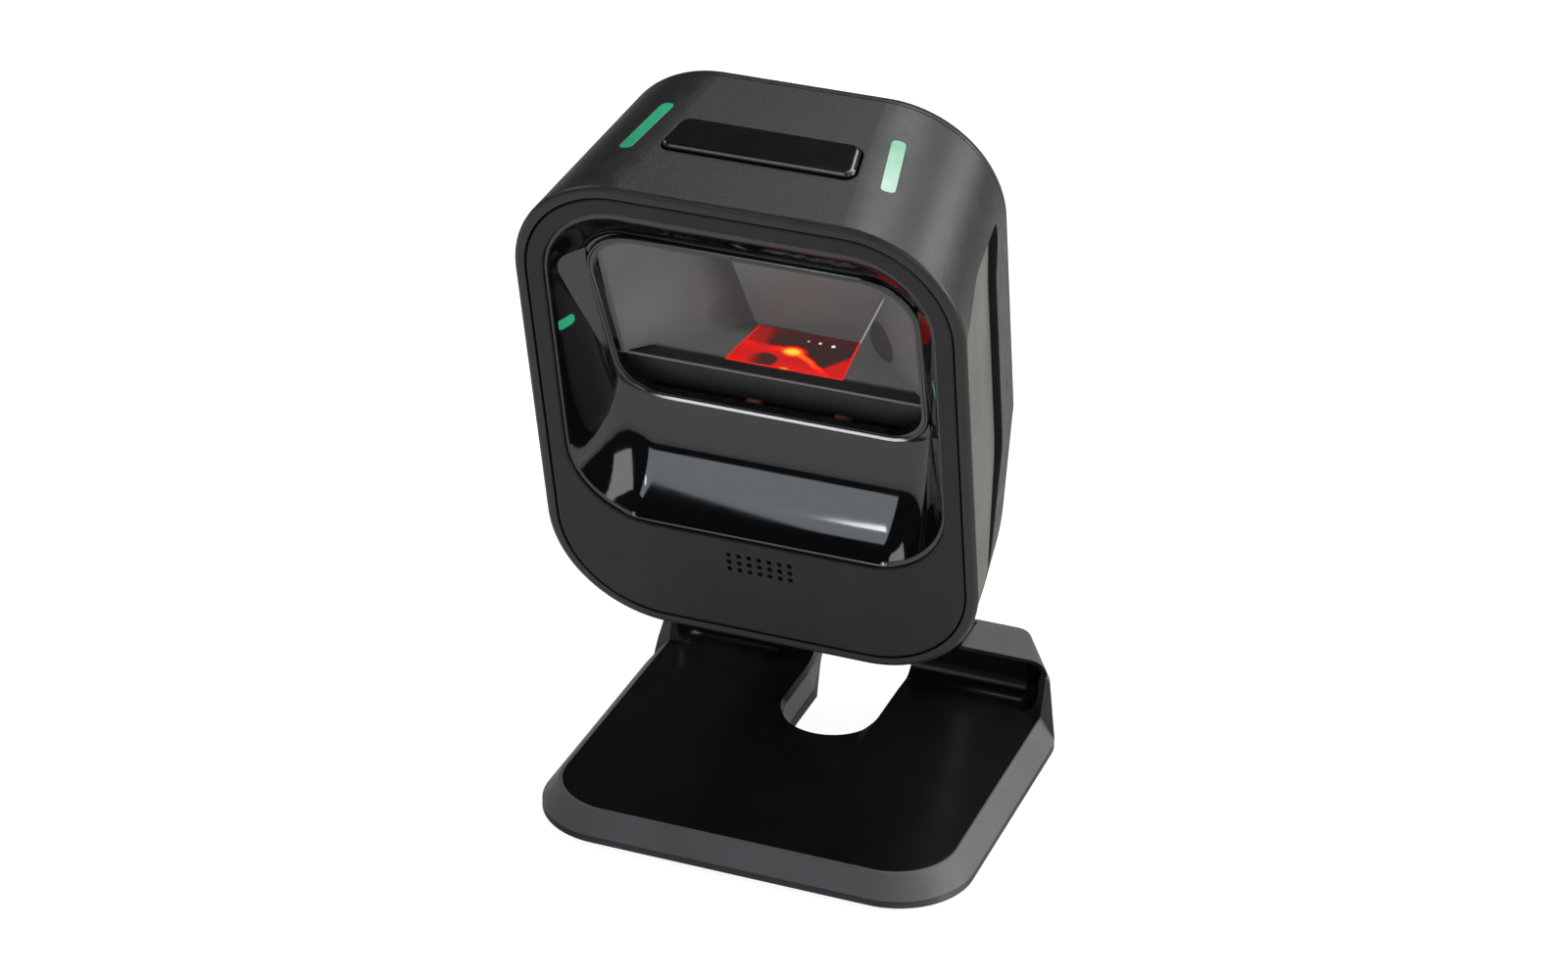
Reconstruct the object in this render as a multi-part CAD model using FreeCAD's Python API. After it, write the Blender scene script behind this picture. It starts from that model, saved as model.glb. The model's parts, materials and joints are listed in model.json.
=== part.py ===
import FreeCAD, Part
import math
import os

# Hands-free presentation barcode scanner on a tilting stand. Millimetres, +Z up, the front of the
# object faces -Y, and the origin is on the table under the middle of the object.
#
# Head pieces are drawn in a head frame: x to the right, y backwards from the front face, z up,
# origin in the middle of the front face. place_head() tilts that frame and carries it to the stand.

V = FreeCAD.Vector

# ---------------------------------------------------------------- head casing
HEAD_WIDTH = 83.0
HEAD_HEIGHT = 98.4
HEAD_DEPTH = 39.4
REAR_WIDTH = 72.0
TOP = HEAD_HEIGHT / 2
TOP_RADIUS = 21.0           # corner radii of the head seen from the front
BOTTOM_RADIUS = 22.0
RING_WIDTH = 2.1            # visible rim of the shell round the face plate
SHELL_WALL = 3.2
REAR_WALL = 2.4
BACK_CORNER_Z = -15.0       # where the back turns into the forward slope
SLOPE_FOOT = (9.0, -47.0)   # a point (y, z) low on that slope
FRONT_EDGE_RADIUS = 0.9
BACK_EDGE_RADIUS = 2.6
SEAM = 0.15                 # gap at every casing seam

SCREW_PLACES = [(x, z) for x in (-30.3, 30.3) for z in (24.0, 3.0)]
BOSS_RADIUS = 3.4
BOSS_FRONT = 24.0
SCREW_RADIUS = 1.5
SCREW_HEAD_RADIUS = 2.7

VENT_ROWS = 5
VENT_TOP = 36.0
VENT_PITCH = 2.8
VENT_HALF = 12.0
VENT_SLOT_HALF = 0.6

# side grip panels: depths y of the front edge, the crease and the back edge
GRIP_FRONT, GRIP_CREASE, GRIP_BACK = 1.0, 10.6, 26.6
GRIP_DEPTHS = (0.12, 0.3, 1.5)      # how far the panel lies below the surface at those three places
GRIP_THICKNESS = 1.1
GRIP_APEX = (30.4, 32.4)    # (y, z) of the arch's point

# ---------------------------------------------------------------- face, recess and window
PLATE_THICKNESS = 2.2
GROOVE = 0.35               # shadow gap round the face plate
APERTURE_HALF = 35.95
APERTURE_LOW, APERTURE_HIGH = -25.6, 43.6
APERTURE_RADIUS = 15.6

HOLE_COLUMNS, HOLE_ROWS = 7, 3      # speaker holes
HOLE_PITCH_X, HOLE_PITCH_Z = 1.95, 1.65
HOLE_RADIUS = 0.5
HOLES_Z = -30.7

# depth, half width, top, lower and upper corner radius of the glossy recess
RECESS_SECTIONS = [
    (0.6, 35.5, 42.4, 15.0, 14.6),
    (3.0, 34.2, 38.9, 14.0, 12.8),
    (5.6, 32.9, 35.4, 12.8, 11.2),
    (8.5, 31.4, 33.5, 11.2, 10.3),
    (11.0, 30.2, 32.5, 9.8, 9.6),
    (12.58, 29.6, 32.0, 8.6, 9.4),
]
# three points of the flat bevel between the aperture's upper corner and the window
BEVEL_POINTS = [(29.8, 12.0, -3.0), (35.5, 0.6, 33.3), (33.8, 8.0, -3.0)]
SCOOP_CENTRE = (-8.1, -5.6)         # axis (y, z) of the round floor of the recess
SCOOP_RADIUS = 20.7
BEZEL_WALL = 1.4
FLANGE_HALF = 37.8                  # rim of the recess moulding, behind the face plate
FLANGE_THICKNESS = 1.2

WINDOW_TOP = (5.6, 35.2)            # (y, z) of the tilted window plane, at its top and bottom edge
WINDOW_LIP = (12.6, -5.7)
WINDOW_HIGH_HALF, WINDOW_LOW_HALF = 31.4, 29.6
WINDOW_BORDER = 0.9                 # how far the frame round the window reaches inwards
GLASS_THICKNESS = 1.5

SIDE_LIGHT_Y, SIDE_LIGHT_Z = 3.2, 15.6
SIDE_LIGHT_HALF_Y, SIDE_LIGHT_HALF_Z = 1.6, 1.1

# ---------------------------------------------------------------- reading chamber and scan engine
CHAMBER_FLOOR = -1.0        # at the back; the floor rises towards the window
CHAMBER_FLOOR_START = 7.0   # distance from the window's lower edge up to the floor's front
CHAMBER_BACK = 32.0
CHAMBER_ROOF = 30.0
CHAMBER_FRONT_HALF = 29.0
CHAMBER_BACK_LOW_HALF, CHAMBER_BACK_HIGH_HALF = 10.4, 19.5
SHROUD_WALL = 1.2
MIRROR_LOW, MIRROR_HIGH = (31.0, 15.8), (18.2, 28.6)
MIRROR_HALF = 13.0
MIRROR_THICKNESS = 0.9

ENGINE_FRONT, ENGINE_BACK = 17.3, 32.0
ENGINE_FRONT_HALF, ENGINE_BACK_HALF = 11.9, 10.4
ENGINE_GLASS = 1.4
ENGINE_Y = 25.6                     # optical axis of the engine
BOARD_TOP = -13.0                   # top of the imager board
BRACKET_FRONT, BRACKET_BACK = 16.6, 32.8
BRACKET_WALL_FRONT = 18.4
BRACKET_HALF = 14.6

# ---------------------------------------------------------------- boards, jack and speaker
MAIN_BOARD_FRONT = 33.4
MAIN_BOARD_THICKNESS = 1.4
JACK_X = -21.8
JACK_HALF = 6.9
JACK_LOW, JACK_HIGH = -13.4, -3.6
JACK_FRONT = 24.5
SOCKET_HALF = 5.0
SOCKET_LOW, SOCKET_HIGH = -12.3, -5.1
SOCKET_DEPTH = 12.0
CONTACT_COUNT, CONTACT_PITCH = 8, 1.02

SPEAKER_HALF = 9.0
SPEAKER_LOW, SPEAKER_HIGH = -41.0, -28.5
SPEAKER_FRONT, SPEAKER_BACK = 3.5, 7.3

# ---------------------------------------------------------------- button and light bars on top
BUTTON_FRONT_HALF, BUTTON_BACK_HALF = 17.8, 16.3
BUTTON_FRONT, BUTTON_BACK = 13.5, 22.2
BUTTON_GAP = 0.4
BUTTON_PROUD = 1.0
BUTTON_DEPTH = 2.4                  # how deep the cap stands in its slot
SKIRT_DROP = 1.7                    # the skirt hangs this far below the shell's inner face
SWITCH_Y = 18.2
PLUNGER_TOP = TOP - 7.05
TOP_BOARD_TOP = 40.0

BAR_FRONT = (24.0, 12.7)    # (x, y) of the ends of a light bar's middle line
BAR_BACK = (21.2, 26.9)
BAR_WIDTH = 2.6

# ---------------------------------------------------------------- hinge
HEAD_TILT = 13.0            # degrees that the head leans forward at rest
HINGE_Y, HINGE_Z = 8.0, 58.8
HINGE_IN_HEAD = (34.8, -37.7)
PIN_RADIUS = 2.5
PIN_CLEARANCE = 0.05
KNUCKLE_HALF = 10.6
KNUCKLE_RADIUS = 7.5
KNUCKLE_STEM = 12.3         # from the hinge axis to the slope
KNUCKLE_PLATE_HALF = 15.5
KNUCKLE_PLATE_REACH = 12.5
KNUCKLE_PLATE_THICKNESS = 2.0
KNUCKLE_SCREW_RADIUS = 1.0
ARM_INNER, ARM_OUTER = 11.2, 19.5
ARM_RADIUS = 8.5
CAP_DEPTH = 2.2
CAP_RADIUS = 5.0
CAP_PROUD = 0.25

# ---------------------------------------------------------------- neck
NECK_FOOT_FRONT, NECK_FOOT_REAR = 33.2, 42.6
NECK_LEAN = 25.0            # degrees: where the neck's curves meet the round hinge end
NECK_FRONT_BOW, NECK_REAR_BOW = (20.2, 33.0), (35.2, 38.0)
WEB_LOW, WEB_HIGH = 27.5, 45.0
NECK_SCREW_PLACES = [(-16.3, 37.9), (16.3, 37.9)]
NECK_SCREW_RADIUS = 1.15

# ---------------------------------------------------------------- base
FOOT_HEIGHT = 0.8
FOOT_RADIUS = 5.5
FOOT_PLACES = [(-31.0, -31.0), (31.0, -31.0), (-27.0, 29.0), (27.0, 29.0)]
TRAY_LIP = 2.0              # height of the seam between tray and cover, from the table
PLATE_TOP = 6.4
TAIL_TOP = 13.8             # top of the raised bar across the back
TAIL_FRONT = 31.0
TAIL_SIDE_START = 24.6      # where the outer wall starts to rise from the rim
# half width, front, waist, rear half width, rear, then the radii of front, waist and rear corners
BASE_BOTTOM = (42.4, -41.5, 24.0, 31.0, 45.3, 15.0, 12.0, 8.0)
BASE_PLATE = (39.2, -38.6, 24.8, 29.6, 44.4, 12.6, 12.0, 7.0)
BASE_TAIL = (39.7, -39.0, 27.2, 29.7, 44.1, 12.6, 6.0, 3.5)
COVER_WALL = 1.4
MAT_HALF, MAT_FRONT, MAT_RADIUS = 38.7, -38.1, 12.1
MAT_THICKNESS = 1.3
MAT_REAR_RADIUS = 5.4
MAT_FILLET = 3.6
NOTCH_HALF = 9.8            # half width at deck height, and at the table
NOTCH_FLOOR_HALF = 6.6
NOTCH_CENTRE = 12.5
NOTCH_WAIST = 24.0          # behind this the notch widens towards the rear edge
NOTCH_TOP_REAR, NOTCH_FLOOR_REAR = 10.4, 14.6
CHANNEL_START = -9.0
CHANNEL_DEPTH = 0.9
BASE_SCREW_PLACES = [(-33.0, -12.0), (33.0, -12.0), (0.0, -36.0), (-24.5, 14.0), (24.5, 14.0)]
BASE_SCREW_RADIUS = 1.3
BALLAST_THICKNESS = 1.4


def unit(a, b):
    length = math.hypot(a, b)
    return a / length, b / length


def rounded_polygon(corners, place):
    """Closed wire through flat corners (a, b, radius), each rounded by its radius.

    place(a, b) turns a flat point into a point of the model.
    """
    count = len(corners)
    arcs = []
    for index, (a, b, radius) in enumerate(corners):
        before, after = corners[index - 1], corners[(index + 1) % count]
        back = unit(before[0] - a, before[1] - b)
        ahead = unit(after[0] - a, after[1] - b)
        half_angle = math.acos(back[0] * ahead[0] + back[1] * ahead[1]) / 2
        middle = unit(back[0] + ahead[0], back[1] + ahead[1])
        setback = radius / math.tan(half_angle)
        crown = radius / math.sin(half_angle) - radius
        start = place(a + back[0] * setback, b + back[1] * setback)
        through = place(a + middle[0] * crown, b + middle[1] * crown)
        finish = place(a + ahead[0] * setback, b + ahead[1] * setback)
        arcs.append((start, through, finish))
    edges = []
    for index, arc in enumerate(arcs):
        edges.append(Part.Arc(*arc).toShape())
        following = arcs[(index + 1) % count][0]
        if (following - arc[2]).Length > 1e-6:
            edges.append(Part.LineSegment(arc[2], following).toShape())
    return Part.Wire(edges)


def rounded_outline(half, low, high, low_radius, high_radius, place):
    """Closed wire of a rounded rectangle, symmetric about x = 0."""
    corners = [(-half, low, low_radius), (half, low, low_radius),
               (half, high, high_radius), (-half, high, high_radius)]
    return rounded_polygon(corners, place)


def front_outline(y, half, low, high, low_radius, high_radius):
    """Rounded rectangle facing the front of the head, at depth y."""
    return rounded_outline(half, low, high, low_radius, high_radius, lambda a, b: V(a, y, b))


def loft(wires, ruled=True):
    return Part.makeLoft(wires, True, ruled)


def slab(wire, vector):
    return Part.Face(wire).extrude(vector)


def polygon(points):
    return Part.makePolygon([V(*p) for p in points] + [V(*points[0])])


def side_prism(points, x_low, x_high):
    """Prism of a (y, z) polygon between two x planes."""
    wire = polygon([(x_low, y, z) for y, z in points])
    return slab(wire, V(x_high - x_low, 0, 0))


def box(x0, x1, y0, y1, z0, z1):
    return Part.makeBox(x1 - x0, y1 - y0, z1 - z0, V(x0, y0, z0))


def rod(radius, start, end):
    axis = V(*end) - V(*start)
    return Part.makeCylinder(radius, axis.Length, V(*start), axis)


def fused(shapes):
    result = shapes[0]
    for shape in shapes[1:]:
        result = result.fuse(shape)
    return result.removeSplitter()


def cut_all(shape, tools):
    for tool in tools:
        shape = shape.cut(tool)
    return shape


def edges_where(shape, test):
    return [edge for edge in shape.Edges if test(edge.CenterOfMass, edge)]


def mirror_x(shape):
    return shape.mirror(V(0, 0, 0), V(1, 0, 0))


def place_head(shape):
    """Head frame to object frame: turn about the hinge, which stays where the stand holds it."""
    moved = shape.copy()
    moved.translate(V(0, -HINGE_IN_HEAD[0], -HINGE_IN_HEAD[1]))
    moved.rotate(V(0, 0, 0), V(1, 0, 0), HEAD_TILT)
    moved.translate(V(0, HINGE_Y, HINGE_Z))
    return moved


# ---------------------------------------------------------------- head frame geometry
def slope_frame():
    """Unit vectors (y, z) of the slope: downwards along it, and out of it."""
    dy = SLOPE_FOOT[0] - HEAD_DEPTH
    dz = SLOPE_FOOT[1] - BACK_CORNER_Z
    length = math.hypot(dy, dz)
    along = (dy / length, dz / length)
    outward = (-along[1], along[0])
    return along, outward


def behind_back(offset):
    """Region behind the back face and the slope, both moved inwards by offset."""
    along, outward = slope_frame()
    y_back = HEAD_DEPTH - offset
    on_slope = (SLOPE_FOOT[0] - offset * outward[0], SLOPE_FOOT[1] - offset * outward[1])
    reach = (y_back - on_slope[0]) / along[0]
    corner = (y_back, on_slope[1] + reach * along[1])
    low = (on_slope[0] + 30 * along[0], on_slope[1] + 30 * along[1])
    points = [(y_back, 70), corner, low, (80, low[1]), (80, 70)]
    return side_prism(points, -60, 60)


def head_block(inset, y_front, y_back):
    """Tapering rounded block of the head, its outline moved inwards by inset."""
    rear_half = REAR_WIDTH / 2
    front_half = HEAD_WIDTH / 2
    wires = []
    for y in (y_front, y_back):
        half = front_half + (rear_half - front_half) * y / HEAD_DEPTH - inset
        top = HEAD_HEIGHT / 2 - inset
        wires.append(front_outline(y, half, -top, top, BOTTOM_RADIUS - inset, TOP_RADIUS - inset))
    return loft(wires)


def head_outer():
    solid = head_block(0, 0, HEAD_DEPTH).cut(behind_back(0))
    back = edges_where(solid, lambda c, e: c.y > 5.0 and e.BoundBox.YMin > 3.0)
    return solid.makeFillet(BACK_EDGE_RADIUS, back)


def side_x(y):
    """Half width of the head at depth y."""
    return HEAD_WIDTH / 2 + (REAR_WIDTH - HEAD_WIDTH) / 2 * y / HEAD_DEPTH


def grip_outline(inset, x):
    """Side grip panel, seen from the side: an arch that rises to a point at its back."""
    corners = [(GRIP_FRONT + inset, 29.0, 1.0), (13.0, 33.4 - inset, 14.0),
               (GRIP_APEX[0] - inset * 1.6, GRIP_APEX[1] - inset, 1.0),
               (GRIP_BACK - inset, 23.0, 6.0), (GRIP_BACK - inset, -14.5, 9.0),
               (GRIP_FRONT + 5.0 - inset * 0.5, -35.0 + inset, 6.0),
               (GRIP_FRONT + inset, -37.0 + inset, 1.5)]
    return rounded_polygon(corners, lambda y, z: V(x, y, z))


def outside_grip(below):
    """Region outside the grip panel's two flat facets, both moved inwards by below."""
    places = (GRIP_FRONT, GRIP_CREASE, GRIP_BACK)
    points = [(side_x(y) - depth - below, y) for y, depth in zip(places, GRIP_DEPTHS)]
    first, last = points[0], points[-1]
    slope = (last[0] - points[1][0]) / (last[1] - points[1][1])
    far = (last[0] + slope * 6, last[1] + 6)
    outline = [(first[0] + 0.2, first[1] - 1.0)] + points + [far, (60, far[1]), (60, first[1] - 1.0)]
    wire = polygon([(x, y, -60) for x, y in outline])
    return slab(wire, V(0, 0, 120))


def grip_recess():
    """What the right grip panel and the space over it take out of the shell."""
    return slab(grip_outline(0, 20), V(40, 0, 0)).common(outside_grip(GRIP_THICKNESS + 0.1))


def side_panel():
    """Right grip panel: a skin of two flat facets that meet along its length."""
    skin = slab(grip_outline(SEAM, 20), V(40, 0, 0))
    skin = skin.common(outside_grip(GRIP_THICKNESS)).cut(outside_grip(0))
    return skin.common(head_block(0.12, -5, HEAD_DEPTH + 5))


def light_bar_outline(grow, z):
    """Long slot with round corners, lying over the right shoulder of the head."""
    ax, ay = unit(BAR_BACK[0] - BAR_FRONT[0], BAR_BACK[1] - BAR_FRONT[1])
    half = BAR_WIDTH / 2 + grow
    front = (BAR_FRONT[0] - ax * grow, BAR_FRONT[1] - ay * grow)
    back = (BAR_BACK[0] + ax * grow, BAR_BACK[1] + ay * grow)
    corners = []
    for end, side in ((front, -1), (front, 1), (back, 1), (back, -1)):
        corners.append((end[0] + side * half * ay, end[1] - side * half * ax, 1.0 + grow))
    return rounded_polygon(corners, lambda a, b: V(a, b, z))


def button_outline(grow, z, corner):
    """Button seen from above: a bar a little narrower at the back, with round corners."""
    front_half, back_half = BUTTON_FRONT_HALF + grow, BUTTON_BACK_HALF + grow
    front, back = BUTTON_FRONT - grow, BUTTON_BACK + grow
    corners = [(-front_half, front, corner), (front_half, front, corner),
               (back_half, back, corner + 0.8), (-back_half, back, corner + 0.8)]
    return rounded_polygon(corners, lambda a, b: V(a, b, z))


def inner_cavity():
    front = head_block(RING_WIDTH, -2, PLATE_THICKNESS)
    back = head_block(SHELL_WALL, PLATE_THICKNESS - 0.2, HEAD_DEPTH + 2)
    return front.fuse(back).cut(behind_back(REAR_WALL))


def head_shell():
    shell = head_outer().cut(inner_cavity()).cut(behind_back(REAR_WALL + 0.6))
    inside_rim = head_block(RING_WIDTH / 2, -1, 1)
    outer_front = edges_where(shell, lambda c, e: e.BoundBox.YMax < 0.01
                              and not inside_rim.isInside(c, 0.01, True))
    shell = shell.makeFillet(FRONT_EDGE_RADIUS, outer_front)
    recess = grip_recess()
    shell = cut_all(shell, [recess, mirror_x(recess)])
    bar = slab(light_bar_outline(0.06, 30), V(0, 0, 30))
    shell = cut_all(shell, [bar, mirror_x(bar)])
    shell = shell.cut(slab(button_outline(BUTTON_GAP, 30, 1.9), V(0, 0, 30)))
    boss_back = HEAD_DEPTH - REAR_WALL - 0.75
    inside = head_block(GRIP_DEPTHS[2] + GRIP_THICKNESS + 0.3, 0, HEAD_DEPTH)
    for x, z in SCREW_PLACES:
        boss = rod(BOSS_RADIUS, (x, BOSS_FRONT, z), (x, boss_back, z)).common(inside)
        shell = shell.fuse(boss).cut(rod(SCREW_RADIUS + 0.02, (x, BOSS_FRONT + 0.8, z), (x, 50, z)))
    return shell


def rear_cover():
    cover = head_outer().common(behind_back(REAR_WALL + 0.6 - SEAM))
    cover = cover.cut(inner_cavity())
    cover = cover.cut(knuckle_block(0.4, REAR_WALL + 6))
    cover = cover.cut(box(JACK_X - JACK_HALF - 1, JACK_X + JACK_HALF + 1, 30, 45,
                          JACK_LOW - 1, JACK_HIGH + 1))
    for x, z in SCREW_PLACES:
        cover = cover.cut(rod(SCREW_HEAD_RADIUS + 0.3, (x, HEAD_DEPTH - 1.3, z), (x, HEAD_DEPTH + 2, z)))
        cover = cover.cut(rod(SCREW_RADIUS + 0.1, (x, 20, z), (x, HEAD_DEPTH + 2, z)))
    cover = cut_all(cover, knuckle_screw_rods(KNUCKLE_SCREW_RADIUS + 0.02, REAR_WALL + 1, REAR_WALL - 1.6))
    for row in range(VENT_ROWS):
        z = VENT_TOP - row * VENT_PITCH
        cover = cover.cut(box(-VENT_HALF, VENT_HALF, 30, 45, z - VENT_SLOT_HALF, z + VENT_SLOT_HALF))
    return cover


# ---------------------------------------------------------------- face, window and chamber
def aperture_outline(inset, y):
    return front_outline(y, APERTURE_HALF - inset, APERTURE_LOW + inset, APERTURE_HIGH - inset,
                         APERTURE_RADIUS, APERTURE_RADIUS)


def face_plate():
    inset = RING_WIDTH + GROOVE
    half = HEAD_WIDTH / 2 - inset
    top = TOP - inset
    outline = front_outline(0, half, -top, top, BOTTOM_RADIUS - inset, TOP_RADIUS - inset)
    plate = slab(outline, V(0, PLATE_THICKNESS - 0.05, 0))
    plate = plate.cut(slab(aperture_outline(0, -1), V(0, 5, 0)))
    front = edges_where(plate, lambda c, e: e.BoundBox.YMax < 0.01)
    plate = plate.makeFillet(0.35, front)
    for column in range(HOLE_COLUMNS):
        for row in range(HOLE_ROWS):
            x = (column - (HOLE_COLUMNS - 1) / 2) * HOLE_PITCH_X
            z = HOLES_Z + (row - (HOLE_ROWS - 1) / 2) * HOLE_PITCH_Z
            plate = plate.cut(rod(HOLE_RADIUS, (x, -1, z), (x, 5, z)))
    return plate


def scoop_floor(y):
    return SCOOP_CENTRE[1] - math.sqrt(SCOOP_RADIUS ** 2 - (y - SCOOP_CENTRE[0]) ** 2)


def around_aperture():
    """Space that the face plate fills round the aperture, with a little clearance."""
    hole = slab(aperture_outline(0.08, -2), V(0, 8, 0))
    return box(-50, 50, -2, PLATE_THICKNESS, -60, 60).cut(hole)


def recess_block(grow):
    """The hollow of the recess, or with grow the outside of the moulding round it."""
    wires = []
    for y, half, top, low_radius, high_radius in RECESS_SECTIONS:
        wires.append(front_outline(y, half + grow, scoop_floor(y) - grow, top + grow,
                                   low_radius + grow, high_radius + grow))
    return loft(wires, ruled=False)


def recess_bevels():
    """Material beyond the flat bevel beside the window, on both sides."""
    low, high, side = (V(*point) for point in BEVEL_POINTS)
    along = (high - low).normalize()
    outward = (high - low).cross(side - low).normalize()
    if outward.x < 0:
        outward = outward * -1
    across = outward.cross(along)
    reach = 60
    sheet = polygon([low + along * (i * reach) + across * (j * reach)
                     for i, j in ((-1, -1), (1, -1), (1, 1), (-1, 1))])
    bevel = slab(sheet, outward * 30)
    return bevel, mirror_x(bevel)


def recess_side_light():
    """Green light guide in the right wall of the recess, nearly flush with it."""
    front, back = SIDE_LIGHT_Y - SIDE_LIGHT_HALF_Y, SIDE_LIGHT_Y + SIDE_LIGHT_HALF_Y
    low, high = SIDE_LIGHT_Z - SIDE_LIGHT_HALF_Z, SIDE_LIGHT_Z + SIDE_LIGHT_HALF_Z
    corners = [(front, low, 0.8), (back, low, 0.8), (back, high, 0.8), (front, high, 0.8)]
    guide = slab(rounded_polygon(corners, lambda a, b: V(30.0, a, b)), V(12, 0, 0))
    guide = guide.common(recess_block(BEZEL_WALL + 0.9)).cut(recess_block(0.03))
    return guide.cut(around_aperture())


def window_direction():
    dy = WINDOW_LIP[0] - WINDOW_TOP[0]
    dz = WINDOW_LIP[1] - WINDOW_TOP[1]
    length = math.hypot(dy, dz)
    return dy / length, dz / length, length


def window_point(u, depth):
    """(y, z) at distance u up the window from its lip, and depth behind its plane."""
    dy, dz, _ = window_direction()
    return (WINDOW_LIP[0] - u * dy - depth * dz, WINDOW_LIP[1] - u * dz + depth * dy)


def window_outline(inset, depth):
    """Rounded outline on the tilted window plane, moved inwards from the recess by inset."""
    _, _, length = window_direction()
    corners = [(-WINDOW_LOW_HALF + inset, inset, 8.4 - inset * 0.5),
               (WINDOW_LOW_HALF - inset, inset, 8.4 - inset * 0.5),
               (WINDOW_HIGH_HALF - inset, length - inset, 10.0 - inset * 0.5),
               (-WINDOW_HIGH_HALF + inset, length - inset, 10.0 - inset * 0.5)]

    def place(a, b):
        y, z = window_point(b, depth)
        return V(a, y, z)
    return rounded_polygon(corners, place)


def window_slab(inset, depth, thickness):
    """Plate parallel to the window, its front face depth behind the window plane."""
    start = window_point(0, depth)
    end = window_point(0, depth + thickness)
    return slab(window_outline(inset, depth), V(0, end[0] - start[0], end[1] - start[1]))


def behind_window(depth):
    high = window_point(90, depth)
    low = window_point(0, depth)
    bottom = window_point(-1.2, depth)
    points = [high, low, bottom, (90, bottom[1]), (90, high[1])]
    return side_prism(points, -60, 60)


def window_bezel():
    body = recess_block(BEZEL_WALL)
    last, half, top, _, _ = RECESS_SECTIONS[-1]
    back = front_outline(last, half + BEZEL_WALL, scoop_floor(last) - BEZEL_WALL, top, 9, 9)
    body = body.fuse(slab(back, V(0, BEZEL_WALL, 0)))
    body = body.cut(behind_window(BEZEL_WALL))
    flange = front_outline(PLATE_THICKNESS, FLANGE_HALF, APERTURE_LOW - 2.2, APERTURE_HIGH + 2.1,
                           17.6, 18.4)
    body = body.fuse(slab(flange, V(0, FLANGE_THICKNESS, 0)))
    hollow = cut_all(recess_block(0).cut(behind_window(0)), recess_bevels())
    first, half, top, low_radius, high_radius = RECESS_SECTIONS[0]
    front = front_outline(first - 1.6, half, scoop_floor(first), top, low_radius, high_radius)
    hollow = hollow.fuse(slab(front, V(0, 1.7, 0)))
    body = body.cut(hollow)
    body = body.cut(around_aperture())
    reach_y, reach_z = SIDE_LIGHT_HALF_Y + 0.05, SIDE_LIGHT_HALF_Z + 0.05
    light = box(30, 45, SIDE_LIGHT_Y - reach_y, SIDE_LIGHT_Y + reach_y,
                SIDE_LIGHT_Z - reach_z, SIDE_LIGHT_Z + reach_z)
    body = cut_all(body, [light, mirror_x(light)])
    return body.cut(window_slab(0.35, -3, 8))


def window_frame():
    """Thin raised frame pressed into the opening, in front of the glass."""
    ring = window_slab(0.4, -0.35, BEZEL_WALL + 0.3)
    return ring.cut(window_slab(0.4 + WINDOW_BORDER, -3, 8))


def scan_window():
    """Glass held against the back of the recess moulding, a little larger than its opening."""
    return window_slab(-0.9, BEZEL_WALL, GLASS_THICKNESS)


def chamber_hollow(grow):
    """Funnel behind the glass: wide at the window, narrow at its back wall."""
    depth = BEZEL_WALL + GLASS_THICKNESS
    front_low = window_point(CHAMBER_FLOOR_START - grow, depth)
    front_high = window_point(39.4 + grow, depth)
    half = CHAMBER_FRONT_HALF + grow
    front = polygon([(-half, *front_low), (half, *front_low), (half, *front_high), (-half, *front_high)])
    low, high = CHAMBER_FLOOR - grow, CHAMBER_ROOF + grow
    low_half, high_half = CHAMBER_BACK_LOW_HALF + grow, CHAMBER_BACK_HIGH_HALF + grow
    y = CHAMBER_BACK + grow
    back = polygon([(-low_half, y, low), (low_half, y, low), (high_half, y, high), (-high_half, y, high)])
    return loft([front, back])


def engine_opening(grow, low, high):
    wire = polygon([(-ENGINE_FRONT_HALF - grow, ENGINE_FRONT - grow, low),
                    (ENGINE_FRONT_HALF + grow, ENGINE_FRONT - grow, low),
                    (ENGINE_BACK_HALF + grow, ENGINE_BACK + grow, low),
                    (-ENGINE_BACK_HALF - grow, ENGINE_BACK + grow, low)])
    return slab(wire, V(0, 0, high - low))


def inner_shroud():
    """Dark funnel between the window and the engine, with a low apron behind the window."""
    depth = BEZEL_WALL + GLASS_THICKNESS
    front_low, front_high = window_point(0.4, depth), window_point(7.2, depth)
    back_low, back_high = window_point(0.4, depth + SHROUD_WALL), window_point(7.2, depth + SHROUD_WALL)
    apron = side_prism([front_low, front_high, back_high, back_low],
                       -CHAMBER_FRONT_HALF, CHAMBER_FRONT_HALF)
    body = chamber_hollow(SHROUD_WALL).fuse(apron)
    body = body.cut(chamber_hollow(0)).cut(in_front_of_window(depth + 0.02))
    return body.cut(engine_opening(-0.6, -10, 5))


def in_front_of_window(depth):
    high, low = window_point(90, depth), window_point(-60, depth)
    return side_prism([high, low, (-60, low[1]), (-60, high[1])], -60, 60)


def fold_mirror():
    """Flat mirror under the chamber's roof that turns the engine's view out of the window."""
    step = MIRROR_THICKNESS * math.sqrt(0.5)
    behind = [(y + step, z + step) for y, z in (MIRROR_HIGH, MIRROR_LOW)]
    return side_prism([MIRROR_LOW, MIRROR_HIGH] + behind, -MIRROR_HALF, MIRROR_HALF)


def engine_window():
    """Pane in the chamber's sloping floor, level with it."""
    front = window_point(CHAMBER_FLOOR_START, BEZEL_WALL + GLASS_THICKNESS)
    back = (CHAMBER_BACK, CHAMBER_FLOOR)
    below = [(y, z - ENGINE_GLASS) for y, z in (back, front)]
    layer = side_prism([front, back] + below, -ENGINE_FRONT_HALF, ENGINE_FRONT_HALF)
    return engine_opening(-0.65, CHAMBER_FLOOR - 5, CHAMBER_FLOOR + 5).common(layer)


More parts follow.
